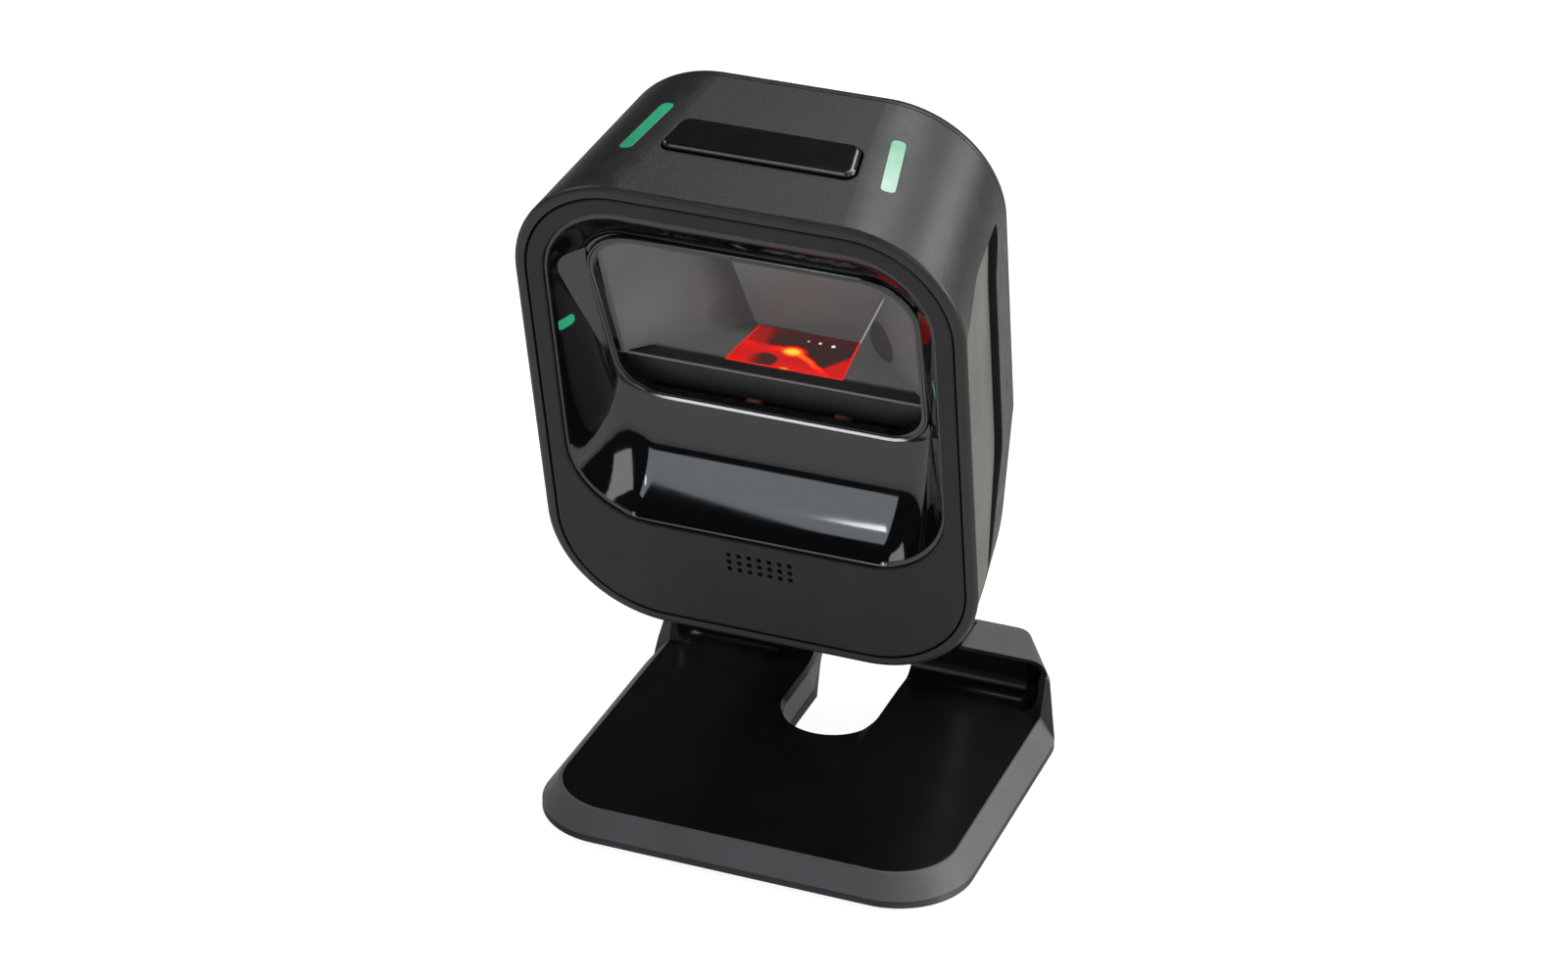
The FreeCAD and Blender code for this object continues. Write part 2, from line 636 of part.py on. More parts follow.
# ---------------------------------------------------------------- scan engine
def imager_board():
    board = box(-13.5, 13.5, 18.8, 32.4, BOARD_TOP - 1.0, BOARD_TOP)
    for x in (-11.6, 11.6):
        board = board.cut(rod(1.1, (x, 20.6, -20), (x, 20.6, 0)))
    return board


def image_sensor():
    return box(-4.2, 4.2, ENGINE_Y - 3.6, ENGINE_Y + 3.6, BOARD_TOP, BOARD_TOP + 0.9)


def lens_holder():
    body = box(-5.6, 5.6, ENGINE_Y - 5.2, ENGINE_Y + 5.2, BOARD_TOP, BOARD_TOP + 3.6)
    body = body.fuse(rod(4.4, (0, ENGINE_Y, BOARD_TOP + 3.6), (0, ENGINE_Y, BOARD_TOP + 7.0)))
    body = body.cut(box(-4.3, 4.3, ENGINE_Y - 3.7, ENGINE_Y + 3.7, BOARD_TOP - 1, BOARD_TOP + 1.6))
    return body.cut(rod(3.35, (0, ENGINE_Y, BOARD_TOP + 1), (0, ENGINE_Y, BOARD_TOP + 9)))


def lens_barrel():
    barrel = rod(3.3, (0, ENGINE_Y, BOARD_TOP + 2.6), (0, ENGINE_Y, BOARD_TOP + 8.6))
    barrel = barrel.cut(rod(2.1, (0, ENGINE_Y, BOARD_TOP), (0, ENGINE_Y, BOARD_TOP + 7.2)))
    return barrel.cut(rod(2.6, (0, ENGINE_Y, BOARD_TOP + 7.2), (0, ENGINE_Y, BOARD_TOP + 10)))


def front_lens():
    seat = BOARD_TOP + 7.2
    disc = rod(2.55, (0, ENGINE_Y, seat), (0, ENGINE_Y, seat + 0.7))
    dome = Part.makeSphere(5.2, V(0, ENGINE_Y, seat + 1.2 - 5.2))
    dome = dome.common(rod(2.2, (0, ENGINE_Y, seat + 0.5), (0, ENGINE_Y, seat + 2)))
    return disc.fuse(dome)


def illumination_leds():
    leds = []
    for x in (-8.6, 8.6):
        for y in (ENGINE_Y - 2.6, ENGINE_Y + 2.6):
            body = box(x - 1.4, x + 1.4, y - 1.4, y + 1.4, BOARD_TOP, BOARD_TOP + 1.2)
            dome = Part.makeSphere(1.2, V(x, y, BOARD_TOP + 1.2))
            dome = dome.common(box(x - 2, x + 2, y - 2, y + 2, BOARD_TOP + 1.2, BOARD_TOP + 4))
            leds.append(body.fuse(dome))
    return Part.makeCompound(leds)


def engine_bracket():
    """Sheet frame that hangs the scan engine under the chamber's floor."""
    top = CHAMBER_FLOOR - SHROUD_WALL
    frame = box(-BRACKET_HALF, BRACKET_HALF, BRACKET_FRONT, BRACKET_BACK, top - 1.0, top - 0.05)
    frame = frame.cut(engine_opening(-0.4, top - 3, top + 3)).cut(chamber_hollow(SHROUD_WALL + 0.02))
    walls = []
    for side in (-1, 1):
        middle = side * (BRACKET_HALF - 0.5)
        walls.append(box(middle - 0.5, middle + 0.5, BRACKET_WALL_FRONT, BRACKET_BACK,
                         BOARD_TOP - 1.0, top - 0.6))
    return fused([frame] + walls)


# ---------------------------------------------------------------- boards, jack, speaker
def main_board():
    y0, y1 = MAIN_BOARD_FRONT, MAIN_BOARD_FRONT + MAIN_BOARD_THICKNESS
    board = box(-29, 29, y0, y1, -2.6, 38)
    for x, z in SCREW_PLACES:
        board = board.cut(rod(BOSS_RADIUS + 0.3, (x, 20, z), (x, 45, z)))
    for x in (-19.0, 19.0):
        board = board.cut(rod(1.3, (x, 30, 34), (x, 45, 34)))
    return board


def board_chips():
    y1 = MAIN_BOARD_FRONT + MAIN_BOARD_THICKNESS
    places = [(-4, 12, 6.5, 6.5, 1.1), (12, 16, 4.0, 5.5, 0.9), (12, 3, 3.0, 3.0, 0.8),
              (-17, 18, 4.5, 3.0, 0.9), (-17, 8, 2.5, 2.5, 0.7), (22, 12, 1.6, 3.2, 0.9)]
    chips = [box(x - a, x + a, y1, y1 + t, z - b, z + b) for x, z, a, b, t in places]
    return Part.makeCompound(chips)


def board_connectors():
    y0 = MAIN_BOARD_FRONT
    sockets = []
    wall = 0.6
    for x, z, a, b in ((-22.5, 8.0, 2.0, 5.0), (22.5, 8.0, 2.0, 5.0), (22.5, 21.0, 2.0, 4.0)):
        shell = box(x - a, x + a, y0 - 3.2, y0, z - b, z + b)
        a, b = a - wall, b - wall
        sockets.append(shell.cut(box(x - a, x + a, y0 - 4, y0 - 0.8, z - b, z + b)))
    return Part.makeCompound(sockets)


def interface_board():
    return box(-30.0, -15.2, 22.0, 35.2, JACK_LOW - 1.3, JACK_LOW - 0.05)


def interface_jack():
    """Modular socket for the interface cord, open at the back of the head."""
    mouth = HEAD_DEPTH - 0.5
    inner_end = mouth - SOCKET_DEPTH
    body = box(JACK_X - JACK_HALF, JACK_X + JACK_HALF, JACK_FRONT, mouth, JACK_LOW, JACK_HIGH)
    socket = box(JACK_X - SOCKET_HALF, JACK_X + SOCKET_HALF, inner_end, mouth + 5, SOCKET_LOW, SOCKET_HIGH)
    latch = box(JACK_X - 3.0, JACK_X + 3.0, inner_end, mouth + 5, SOCKET_LOW - 0.6, SOCKET_LOW + 1)
    return body.cut(socket).cut(latch)


def jack_contacts():
    contacts = []
    for index in range(CONTACT_COUNT):
        x = JACK_X + (index - (CONTACT_COUNT - 1) / 2) * CONTACT_PITCH
        points = [(JACK_FRONT + 3.3, SOCKET_HIGH), (JACK_FRONT + 7.2, SOCKET_HIGH),
                  (JACK_FRONT + 4.4, SOCKET_HIGH - 2.4), (JACK_FRONT + 4.0, SOCKET_HIGH - 2.3),
                  (JACK_FRONT + 6.0, SOCKET_HIGH - 0.4), (JACK_FRONT + 3.3, SOCKET_HIGH - 0.4)]
        contacts.append(side_prism(points, x - 0.18, x + 0.18))
    return Part.makeCompound(contacts)


def speaker():
    """Small box speaker with an oval cone."""
    body = box(-SPEAKER_HALF, SPEAKER_HALF, SPEAKER_FRONT, SPEAKER_BACK, SPEAKER_LOW, SPEAKER_HIGH)
    middle = (SPEAKER_LOW + SPEAKER_HIGH) / 2
    wide = front_outline(SPEAKER_FRONT - 0.1, 7.6, middle - 5.0, middle + 5.0, 4.9, 4.9)
    narrow = front_outline(SPEAKER_FRONT + 1.4, 4.0, middle - 2.0, middle + 2.0, 1.9, 1.9)
    return body.cut(loft([wide, narrow]))


def speaker_mesh():
    return box(-8.0, 8.0, PLATE_THICKNESS + 0.1, PLATE_THICKNESS + 0.45, -34.6, -28.2)


def speaker_gasket():
    """Foam ring that seals the speaker to the back of the face plate."""
    ring = box(-SPEAKER_HALF, SPEAKER_HALF, PLATE_THICKNESS + 0.5, SPEAKER_FRONT - 0.05,
               SPEAKER_LOW, SPEAKER_HIGH)
    return ring.cut(box(-7.8, 7.8, 0, 10, SPEAKER_LOW + 1.2, SPEAKER_HIGH - 1.2))


# ---------------------------------------------------------------- top: button, light bars, board
def trigger_button():
    """Button cap, with a skirt that stops it from below and a stem that meets the switch."""
    cap_bottom = TOP - BUTTON_DEPTH
    skirt_bottom = TOP - SHELL_WALL - SKIRT_DROP
    cap = slab(button_outline(0, cap_bottom, 1.5), V(0, 0, BUTTON_DEPTH + BUTTON_PROUD))
    top_edges = edges_where(cap, lambda c, e: abs(c.z - TOP - BUTTON_PROUD) < 0.01)
    cap = cap.makeFillet(0.7, top_edges)
    skirt = slab(button_outline(0.9, skirt_bottom, 1.5), V(0, 0, 0.9))
    core = box(-15, 15, 14.6, 21.6, skirt_bottom, cap_bottom)
    stem = box(-2.0, 2.0, SWITCH_Y - 1.6, SWITCH_Y + 1.6, PLUNGER_TOP + 0.05, cap_bottom)
    return fused([cap, skirt, core, stem])


def light_bar():
    """Right light guide: follows the shoulder outside and reaches down to its lamp inside."""
    upper = slab(light_bar_outline(0, TOP_BOARD_TOP + 1.2), V(0, 0, 12))
    upper = upper.common(head_block(0, 0, HEAD_DEPTH))
    return upper.fuse(slab(light_bar_outline(1.3, TOP_BOARD_TOP + 2.6), V(0, 0, 1.2)))


def indicator_leds():
    """Two lamps on the top board under each light bar."""
    leds = []
    for side in (-1, 1):
        for share in (0.25, 0.75):
            x = side * (BAR_FRONT[0] + (BAR_BACK[0] - BAR_FRONT[0]) * share)
            y = BAR_FRONT[1] + (BAR_BACK[1] - BAR_FRONT[1]) * share
            leds.append(box(x - 0.8, x + 0.8, y - 1.4, y + 1.4, TOP_BOARD_TOP, TOP_BOARD_TOP + 0.8))
    return Part.makeCompound(leds)


def top_board():
    return box(-27.5, 27.5, 11.5, 28.5, TOP_BOARD_TOP - 1.2, TOP_BOARD_TOP)


def trigger_switch():
    body = box(-3.0, 3.0, SWITCH_Y - 3.0, SWITCH_Y + 3.0, TOP_BOARD_TOP, TOP_BOARD_TOP + 1.5)
    return body.cut(rod(1.65, (0, SWITCH_Y, TOP_BOARD_TOP + 0.5), (0, SWITCH_Y, TOP_BOARD_TOP + 4)))


def switch_plunger():
    return rod(1.55, (0, SWITCH_Y, TOP_BOARD_TOP + 1.2), (0, SWITCH_Y, PLUNGER_TOP))


# ---------------------------------------------------------------- hinge
def knuckle_block(grow, inside):
    """Stem of the knuckle between the slope and the hinge, reaching inside the head."""
    along, outward = slope_frame()
    hy, hz = HINGE_IN_HEAD
    reach = KNUCKLE_STEM + inside
    half = KNUCKLE_RADIUS + grow
    points = []
    for a, o in ((-half, 0), (half, 0), (half, -reach), (-half, -reach)):
        points.append((hy + a * along[0] + o * outward[0], hz + a * along[1] + o * outward[1]))
    return side_prism(points, -KNUCKLE_HALF - grow, KNUCKLE_HALF + grow)


def slope_point(along_distance, depth):
    """(y, z) at a distance down the slope from the hinge, and a depth inside its surface."""
    along, outward = slope_frame()
    hy, hz = HINGE_IN_HEAD
    inwards = KNUCKLE_STEM + depth
    return (hy + along_distance * along[0] - inwards * outward[0],
            hz + along_distance * along[1] - inwards * outward[1])


def knuckle_screw_rods(radius, deep, shallow):
    """Rods on the four knuckle screw axes, between two depths inside the slope's surface."""
    rods = []
    for x in (-13.0, 13.0):
        for distance in (-9.8, 9.8):
            start, end = slope_point(distance, deep), slope_point(distance, shallow)
            rods.append(rod(radius, (x, *start), (x, *end)))
    return rods


def hinge_knuckle():
    hy, hz = HINGE_IN_HEAD
    barrel = rod(KNUCKLE_RADIUS, (-KNUCKLE_HALF, hy, hz), (KNUCKLE_HALF, hy, hz))
    stem = knuckle_block(0, REAR_WALL + 1.0)
    outer_face = REAR_WALL + 0.05
    inner_face = outer_face + KNUCKLE_PLATE_THICKNESS
    reach = KNUCKLE_PLATE_REACH
    corners = [slope_point(-reach, outer_face), slope_point(reach, outer_face),
               slope_point(reach, inner_face), slope_point(-reach, inner_face)]
    plate = side_prism(corners, -KNUCKLE_PLATE_HALF, KNUCKLE_PLATE_HALF)
    body = fused([barrel, stem, plate])
    body = body.cut(rod(PIN_RADIUS + PIN_CLEARANCE, (-20, hy, hz), (20, hy, hz)))
    return cut_all(body, knuckle_screw_rods(KNUCKLE_SCREW_RADIUS + 0.1, REAR_WALL + 4, REAR_WALL - 1))


def knuckle_screws():
    """Screws from inside the head that hold the knuckle's plate to the rear cover."""
    seat = REAR_WALL + 0.1 + KNUCKLE_PLATE_THICKNESS
    heads = knuckle_screw_rods(1.9, seat + 1.4, seat)
    shanks = knuckle_screw_rods(KNUCKLE_SCREW_RADIUS, seat, REAR_WALL - 1.4)
    return Part.makeCompound([head.fuse(shank) for head, shank in zip(heads, shanks)])


def hinge_rod(radius, x_start, x_end):
    """Rod on the hinge axis, in the object frame."""
    return rod(radius, (x_start, HINGE_Y, HINGE_Z), (x_end, HINGE_Y, HINGE_Z))


def hinge_rings(radius, bore, x_inner, x_outer):
    """A ring on the hinge axis at each side, between two distances from the middle."""
    hole = hinge_rod(bore, -30, 30)
    rings = [hinge_rod(radius, side * x_inner, side * x_outer).cut(hole) for side in (-1, 1)]
    return Part.makeCompound(rings)


def hinge_pin():
    reach = ARM_OUTER - CAP_DEPTH - 0.9
    return hinge_rod(PIN_RADIUS, -reach, reach)


def friction_washers():
    return hinge_rings(5.6, PIN_RADIUS + 0.08, KNUCKLE_HALF + 0.06, ARM_INNER - 0.02)


def spring_washers():
    """Dished washers that keep the hinge stiff, one stack in each cap recess."""
    bottom = ARM_OUTER - CAP_DEPTH
    return hinge_rings(4.4, PIN_RADIUS + 0.1, bottom + 0.02, bottom + 0.65)


def pin_caps():
    caps = []
    for side in (-1, 1):
        outer, inner = side * (ARM_OUTER + CAP_PROUD), side * (ARM_OUTER - CAP_DEPTH + 0.7)
        cap = hinge_rod(CAP_RADIUS - 0.1, inner, outer)
        rim = edges_where(cap, lambda c, e: abs(abs(c.x) - ARM_OUTER - CAP_PROUD) < 0.01)
        caps.append(cap.makeFillet(0.4, rim))
    return Part.makeCompound(caps)


# ---------------------------------------------------------------- stand: neck
def neck_side(shrink):
    """Side view of the neck: a foot on the tail, leaning forward to the round hinge end."""
    radius = ARM_RADIUS - shrink
    front, rear = NECK_FOOT_FRONT + shrink, NECK_FOOT_REAR - shrink
    foot = TAIL_TOP - 1.6

    def round_end(degrees):
        angle = math.radians(degrees)
        return V(0, HINGE_Y + radius * math.cos(angle), HINGE_Z + radius * math.sin(angle))
    rear_touch, crown, front_touch = [round_end(NECK_LEAN + turn) for turn in (0, 90, 180)]
    rear_bow = V(0, NECK_REAR_BOW[0] - shrink, NECK_REAR_BOW[1])
    front_bow = V(0, NECK_FRONT_BOW[0] + shrink, NECK_FRONT_BOW[1])
    edges = [
        Part.LineSegment(V(0, front, foot), V(0, rear, foot)).toShape(),
        Part.Arc(V(0, rear, foot), rear_bow, rear_touch).toShape(),
        Part.Arc(rear_touch, crown, front_touch).toShape(),
        Part.Arc(front_touch, front_bow, V(0, front, foot)).toShape(),
    ]
    return Part.Wire(edges)


def neck_arm(x_low, x_high, shrink=0):
    wire = neck_side(shrink)
    wire.translate(V(x_low, 0, 0))
    return slab(wire, V(x_high - x_low, 0, 0))


def neck():
    arms = [neck_arm(ARM_INNER, ARM_OUTER), neck_arm(-ARM_OUTER, -ARM_INNER)]
    web = neck_arm(-ARM_INNER - 1, ARM_INNER + 1)
    web = web.common(box(-20, 20, -50, 60, WEB_LOW, WEB_HIGH))
    body = fused(arms + [web])
    outer = edges_where(body, lambda c, e: abs(abs(c.x) - ARM_OUTER) < 0.01 and e.Length > 15)
    body = body.makeFillet(1.6, outer)
    body = body.cut(hinge_rod(PIN_RADIUS + 0.02, -30, 30))
    for side in (-1, 1):
        body = body.cut(hinge_rod(CAP_RADIUS, side * (ARM_OUTER - CAP_DEPTH), side * (ARM_OUTER + 3)))
    body = body.cut(back_recess(0))
    for x, y in NECK_SCREW_PLACES:
        body = body.cut(rod(NECK_SCREW_RADIUS + 0.05, (x, y, 0), (x, y, TAIL_TOP + 8)))
    return body


def back_recess(shrink):
    """Shallow pocket in the back of the neck's web, closed by a small cover."""
    half = ARM_INNER - 1.6 - shrink
    band = box(-half, half, 15, 60, WEB_LOW + 1.5 + shrink, WEB_HIGH - 1.5 - shrink)
    web = neck_arm(-ARM_INNER - 1, ARM_INNER + 1)
    inner = web.copy()
    inner.translate(V(0, -1.6, 0))
    return web.cut(inner).common(band)


def neck_back_cover():
    return back_recess(SEAM)


# ---------------------------------------------------------------- stand: base
def notch_wire(z, half, rear_half):
    """U shape open to the back, wider towards the rear edge."""
    rear = BASE_BOTTOM[4] + 1.0
    edges = [
        Part.LineSegment(V(-rear_half, rear, z), V(-half, NOTCH_WAIST, z)).toShape(),
        Part.LineSegment(V(-half, NOTCH_WAIST, z), V(-half, NOTCH_CENTRE, z)).toShape(),
        Part.Arc(V(-half, NOTCH_CENTRE, z), V(0, NOTCH_CENTRE - half, z),
                 V(half, NOTCH_CENTRE, z)).toShape(),
        Part.LineSegment(V(half, NOTCH_CENTRE, z), V(half, NOTCH_WAIST, z)).toShape(),
        Part.LineSegment(V(half, NOTCH_WAIST, z), V(rear_half, rear, z)).toShape(),
        Part.LineSegment(V(rear_half, rear, z), V(-rear_half, rear, z)).toShape(),
    ]
    return Part.Wire(edges)


def notch(low, high, grow=0):
    """Cutter of the cord notch: its walls lean out towards the deck's top."""
    floor_wire = notch_wire(0, NOTCH_FLOOR_HALF + grow, NOTCH_FLOOR_REAR + grow)
    deck_wire = notch_wire(PLATE_TOP, NOTCH_HALF + grow, NOTCH_TOP_REAR + grow)
    both = loft([floor_wire, deck_wire]).fuse(slab(deck_wire, V(0, 0, 30)))
    return both.common(box(-60, 60, -60, 80, low, high))


def base_outline(profile, z, inset):
    """Outline of the base at height z: straight sides that turn inwards at the waist."""
    half, front, waist, rear_half, rear, front_radius, waist_radius, rear_radius = profile
    corners = [(half - inset, front + inset, front_radius - inset), (half - inset, waist, waist_radius),
               (rear_half - inset * 0.6, rear - inset, max(rear_radius - inset, 1.0))]
    left = [(-x, y, radius) for x, y, radius in reversed(corners)]
    return rounded_polygon(corners + left, lambda a, b: V(a, b, z))


def tail_region(shift):
    """Everything behind the front of the tail's outer wall, which leans back a little."""
    start = TAIL_SIDE_START + shift
    points = [(start - 0.8, 0), (start, PLATE_TOP), (start + 2.0, TAIL_TOP), (start + 4.0, TAIL_TOP + 5),
              (90, TAIL_TOP + 5), (90, 0)]
    return side_prism(points, -60, 60)


def base_block(inset, z_low, z_plate, z_tail):
    """Deck and tail of the base as one solid, moved inwards by inset."""
    bottom = base_outline(BASE_BOTTOM, z_low, inset)
    deck = loft([bottom, base_outline(BASE_PLATE, z_plate, inset)])
    tail = loft([bottom, base_outline(BASE_TAIL, z_tail, inset)]).common(tail_region(inset))
    return deck, tail


def mat_pocket(inset, floor):
    """Space over the deck and in front of the tail, down to the given floor."""
    corners = [(MAT_HALF - inset, MAT_FRONT + inset, MAT_RADIUS - inset),
               (MAT_HALF - inset, TAIL_FRONT + MAT_THICKNESS - inset, MAT_REAR_RADIUS - inset)]
    left = [(-x, y, radius) for x, y, radius in reversed(corners)]
    return slab(rounded_polygon(corners + left, lambda a, b: V(a, b, floor)), V(0, 0, 30))


def outer_base():
    """Outside of cover and mat together, with its edges rounded."""
    deck, tail = base_block(0, TRAY_LIP + SEAM, PLATE_TOP, TAIL_TOP)
    deck = deck.makeFillet(0.5, edges_where(deck, lambda c, e: e.BoundBox.ZMin > PLATE_TOP - 0.01))
    top = edges_where(tail, lambda c, e: e.BoundBox.ZMin > TAIL_TOP - 0.01 and c.y > TAIL_SIDE_START + 2.3)
    tail = tail.makeFillet(0.9, top)
    return deck.fuse(tail)


def channel():
    """Shallow trough that leads the deck down to the front of the notch."""
    def section(y, wide, narrow, depth):
        return polygon([(-wide, y, PLATE_TOP + 0.5), (-wide, y, PLATE_TOP), (-narrow, y, PLATE_TOP - depth),
                        (narrow, y, PLATE_TOP - depth), (wide, y, PLATE_TOP), (wide, y, PLATE_TOP + 0.5)])
    sections = [section(CHANNEL_START, 9.5, 8.9, 0.02), section(NOTCH_CENTRE + 2, 9.79, 8.0, CHANNEL_DEPTH)]
    return loft(sections)


def base_cover():
    deck, tail = base_block(COVER_WALL, TRAY_LIP - 2, PLATE_TOP - MAT_THICKNESS - COVER_WALL,
                            TAIL_TOP - 2.0)
    behind_mat = box(-60, 60, TAIL_FRONT + MAT_THICKNESS + 1.5, 90, -5, 40)
    hollow = deck.fuse(tail.common(behind_mat)).cut(notch_column())
    body = outer_base().cut(hollow)
    body = body.cut(mat_pocket(0, PLATE_TOP - MAT_THICKNESS)).cut(notch(-5, 40))
    for x, y in NECK_SCREW_PLACES:
        body = body.fuse(rod(3.2, (x, y, TRAY_LIP + 1.5), (x, y, TAIL_TOP - 1.7)))
        body = body.cut(rod(1.3, (x, y, 0), (x, y, TAIL_TOP + 2)))
    for x, y in BASE_SCREW_PLACES:
        body = body.cut(rod(BASE_SCREW_RADIUS + 0.02, (x, y, 0), (x, y, PLATE_TOP - MAT_THICKNESS)))
    seat = neck_arm(ARM_INNER - 0.1, ARM_OUTER + 0.1, -0.1)
    return cut_all(body, [seat, mirror_x(seat)])


def deck_mat():
    """Smooth black skin of the deck, which turns up over the front of the tail."""
    inside = mat_pocket(MAT_THICKNESS - SEAM, PLATE_TOP)
    foot = edges_where(inside, lambda c, e: abs(c.z - PLATE_TOP) < 0.01)
    inside = inside.makeFillet(3.6, foot)
    skin = mat_pocket(SEAM, PLATE_TOP - MAT_THICKNESS + 0.05).cut(inside)
    skin = skin.common(outer_base())
    return skin.cut(notch(-5, 40)).cut(channel())


def notch_column():
    """Column of material left standing round the notch, so that its walls are closed."""
    return notch(0, PLATE_TOP + 30, COVER_WALL + 0.2)


def base_tray():
    """Bottom pan: carries on the slope of the rim down to the feet."""
    lip = loft([tray_outline(FOOT_HEIGHT), tray_outline(TRAY_LIP)])
    lip = lip.cut(notch(-5, 40))
    for x, y in FOOT_PLACES:
        lip = lip.cut(rod(FOOT_RADIUS + 0.1, (x, y, -1), (x, y, FOOT_HEIGHT + 0.5)))
    for x, y in BASE_SCREW_PLACES:
        lip = lip.cut(rod(BASE_SCREW_RADIUS + 0.2, (x, y, -1), (x, y, 5)))
        lip = lip.cut(rod(SCREW_HEAD_RADIUS + 0.2, (x, y, -1), (x, y, FOOT_HEIGHT + 0.55)))
    for x, y in NECK_SCREW_PLACES:
        lip = lip.cut(rod(2.6, (x, y, -1), (x, y, 5)))
    return lip


def tray_outline(z):
    """Base outline between the lowest edge of the rim and the seam above the tray."""
    share = (z - FOOT_HEIGHT) / (PLATE_TOP - FOOT_HEIGHT)
    profile = [low + (high - low) * share for low, high in zip(BASE_BOTTOM, BASE_PLATE)]
    return base_outline(profile, z, 0)


def ballast_plate():
    """Steel weight that keeps the stand down."""
    outline = rounded_outline(34.5, -34.0, 24.0, 8, 8, lambda a, b: V(a, b, TRAY_LIP + 0.1))
    room = notch_wire(-1, NOTCH_HALF + COVER_WALL + 0.6, NOTCH_TOP_REAR + COVER_WALL + 2)
    plate = slab(outline, V(0, 0, BALLAST_THICKNESS)).cut(slab(room, V(0, 0, 10)))
    for x, y in BASE_SCREW_PLACES:
        plate = plate.cut(rod(3.2, (x, y, -1), (x, y, 10)))
    return plate


def base_screws():
    screws = []
    for x, y in BASE_SCREW_PLACES:
        head = rod(SCREW_HEAD_RADIUS, (x, y, FOOT_HEIGHT - 0.2), (x, y, FOOT_HEIGHT + 0.5))
        head = head.cut(rod(1.0, (x, y, 0), (x, y, FOOT_HEIGHT + 0.15)))
        shank_top = PLATE_TOP - MAT_THICKNESS - 0.1
        screws.append(head.fuse(rod(BASE_SCREW_RADIUS, (x, y, FOOT_HEIGHT + 0.5), (x, y, shank_top))))
    return Part.makeCompound(screws)


def rubber_feet():
    feet = []
    for x, y in FOOT_PLACES:
        foot = rod(FOOT_RADIUS, (x, y, 0), (x, y, FOOT_HEIGHT + 0.45))
        rim = edges_where(foot, lambda c, e: c.z < 0.01)
        feet.append(foot.makeFillet(0.3, rim))
    return Part.makeCompound(feet)


def neck_screws():
    screws = []
    for x, y in NECK_SCREW_PLACES:
        head = rod(2.4, (x, y, FOOT_HEIGHT + 0.3), (x, y, TRAY_LIP + 1.4))
        shank = rod(NECK_SCREW_RADIUS, (x, y, TRAY_LIP + 1.4), (x, y, TAIL_TOP + 7))
        screws.append(head.fuse(shank))
    return Part.makeCompound(screws)


def rear_cover_screws():
    screws = []
    for x, z in SCREW_PLACES:
        seat = HEAD_DEPTH - 1.3
        head = rod(SCREW_HEAD_RADIUS, (x, seat, z), (x, seat + 0.9, z))
        head = head.cut(rod(1.0, (x, seat + 0.4, z), (x, seat + 2, z)))
        screws.append(head.fuse(rod(SCREW_RADIUS, (x, BOSS_FRONT + 1, z), (x, seat, z))))
    return Part.makeCompound(screws)


HEAD_NODES = {
    "head_shell": head_shell, "face_plate": face_plate, "window_bezel": window_bezel,
    "window_frame": window_frame, "scan_window": scan_window, "inner_shroud": inner_shroud,
    "fold_mirror": fold_mirror, "engine_window": engine_window, "engine_bracket": engine_bracket,
    "imager_board": imager_board, "image_sensor": image_sensor, "lens_holder": lens_holder,
    "lens_barrel": lens_barrel, "front_lens": front_lens, "illumination_leds": illumination_leds,
    "main_board": main_board, "board_chips": board_chips, "board_connectors": board_connectors,
    "interface_board": interface_board, "interface_jack": interface_jack,
    "jack_contacts": jack_contacts, "speaker": speaker, "speaker_mesh": speaker_mesh,
    "speaker_gasket": speaker_gasket, "rear_cover": rear_cover,
    "rear_cover_screws": rear_cover_screws, "top_board": top_board,
    "indicator_leds": indicator_leds, "trigger_switch": trigger_switch,
    "trigger_button": trigger_button, "switch_plunger": switch_plunger,
    "hinge_knuckle": hinge_knuckle, "knuckle_screws": knuckle_screws,
}
STAND_NODES = {
    "base_cover": base_cover, "deck_mat": deck_mat, "base_tray": base_tray, "ballast_plate": ballast_plate,
    "base_screws": base_screws, "rubber_feet": rubber_feet, "neck": neck,
    "neck_back_cover": neck_back_cover, "neck_screws": neck_screws, "hinge_pin": hinge_pin,
    "friction_washers": friction_washers, "spring_washers": spring_washers, "pin_caps": pin_caps,
}


def build():
    parts = {}
    for name, make in HEAD_NODES.items():
        parts[name] = place_head(make())
    for side, name in ((side_panel, "side_panel"), (light_bar, "light_bar"),
                       (recess_side_light, "recess_light")):
        right = side()
        parts[name + "_right"] = place_head(right)
        parts[name + "_left"] = place_head(mirror_x(right))
    for name, make in STAND_NODES.items():
        parts[name] = make()
    return parts


os.makedirs("parts", exist_ok=True)
for name, shape in build().items():
    solids = shape.Solids
    print(name, "solids", len(solids), "valid", shape.isValid(), "volume %.1f" % shape.Volume)
    shape.exportStep("parts/" + name + ".step")
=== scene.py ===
import json
import math
import bpy
from mathutils import Matrix, Vector


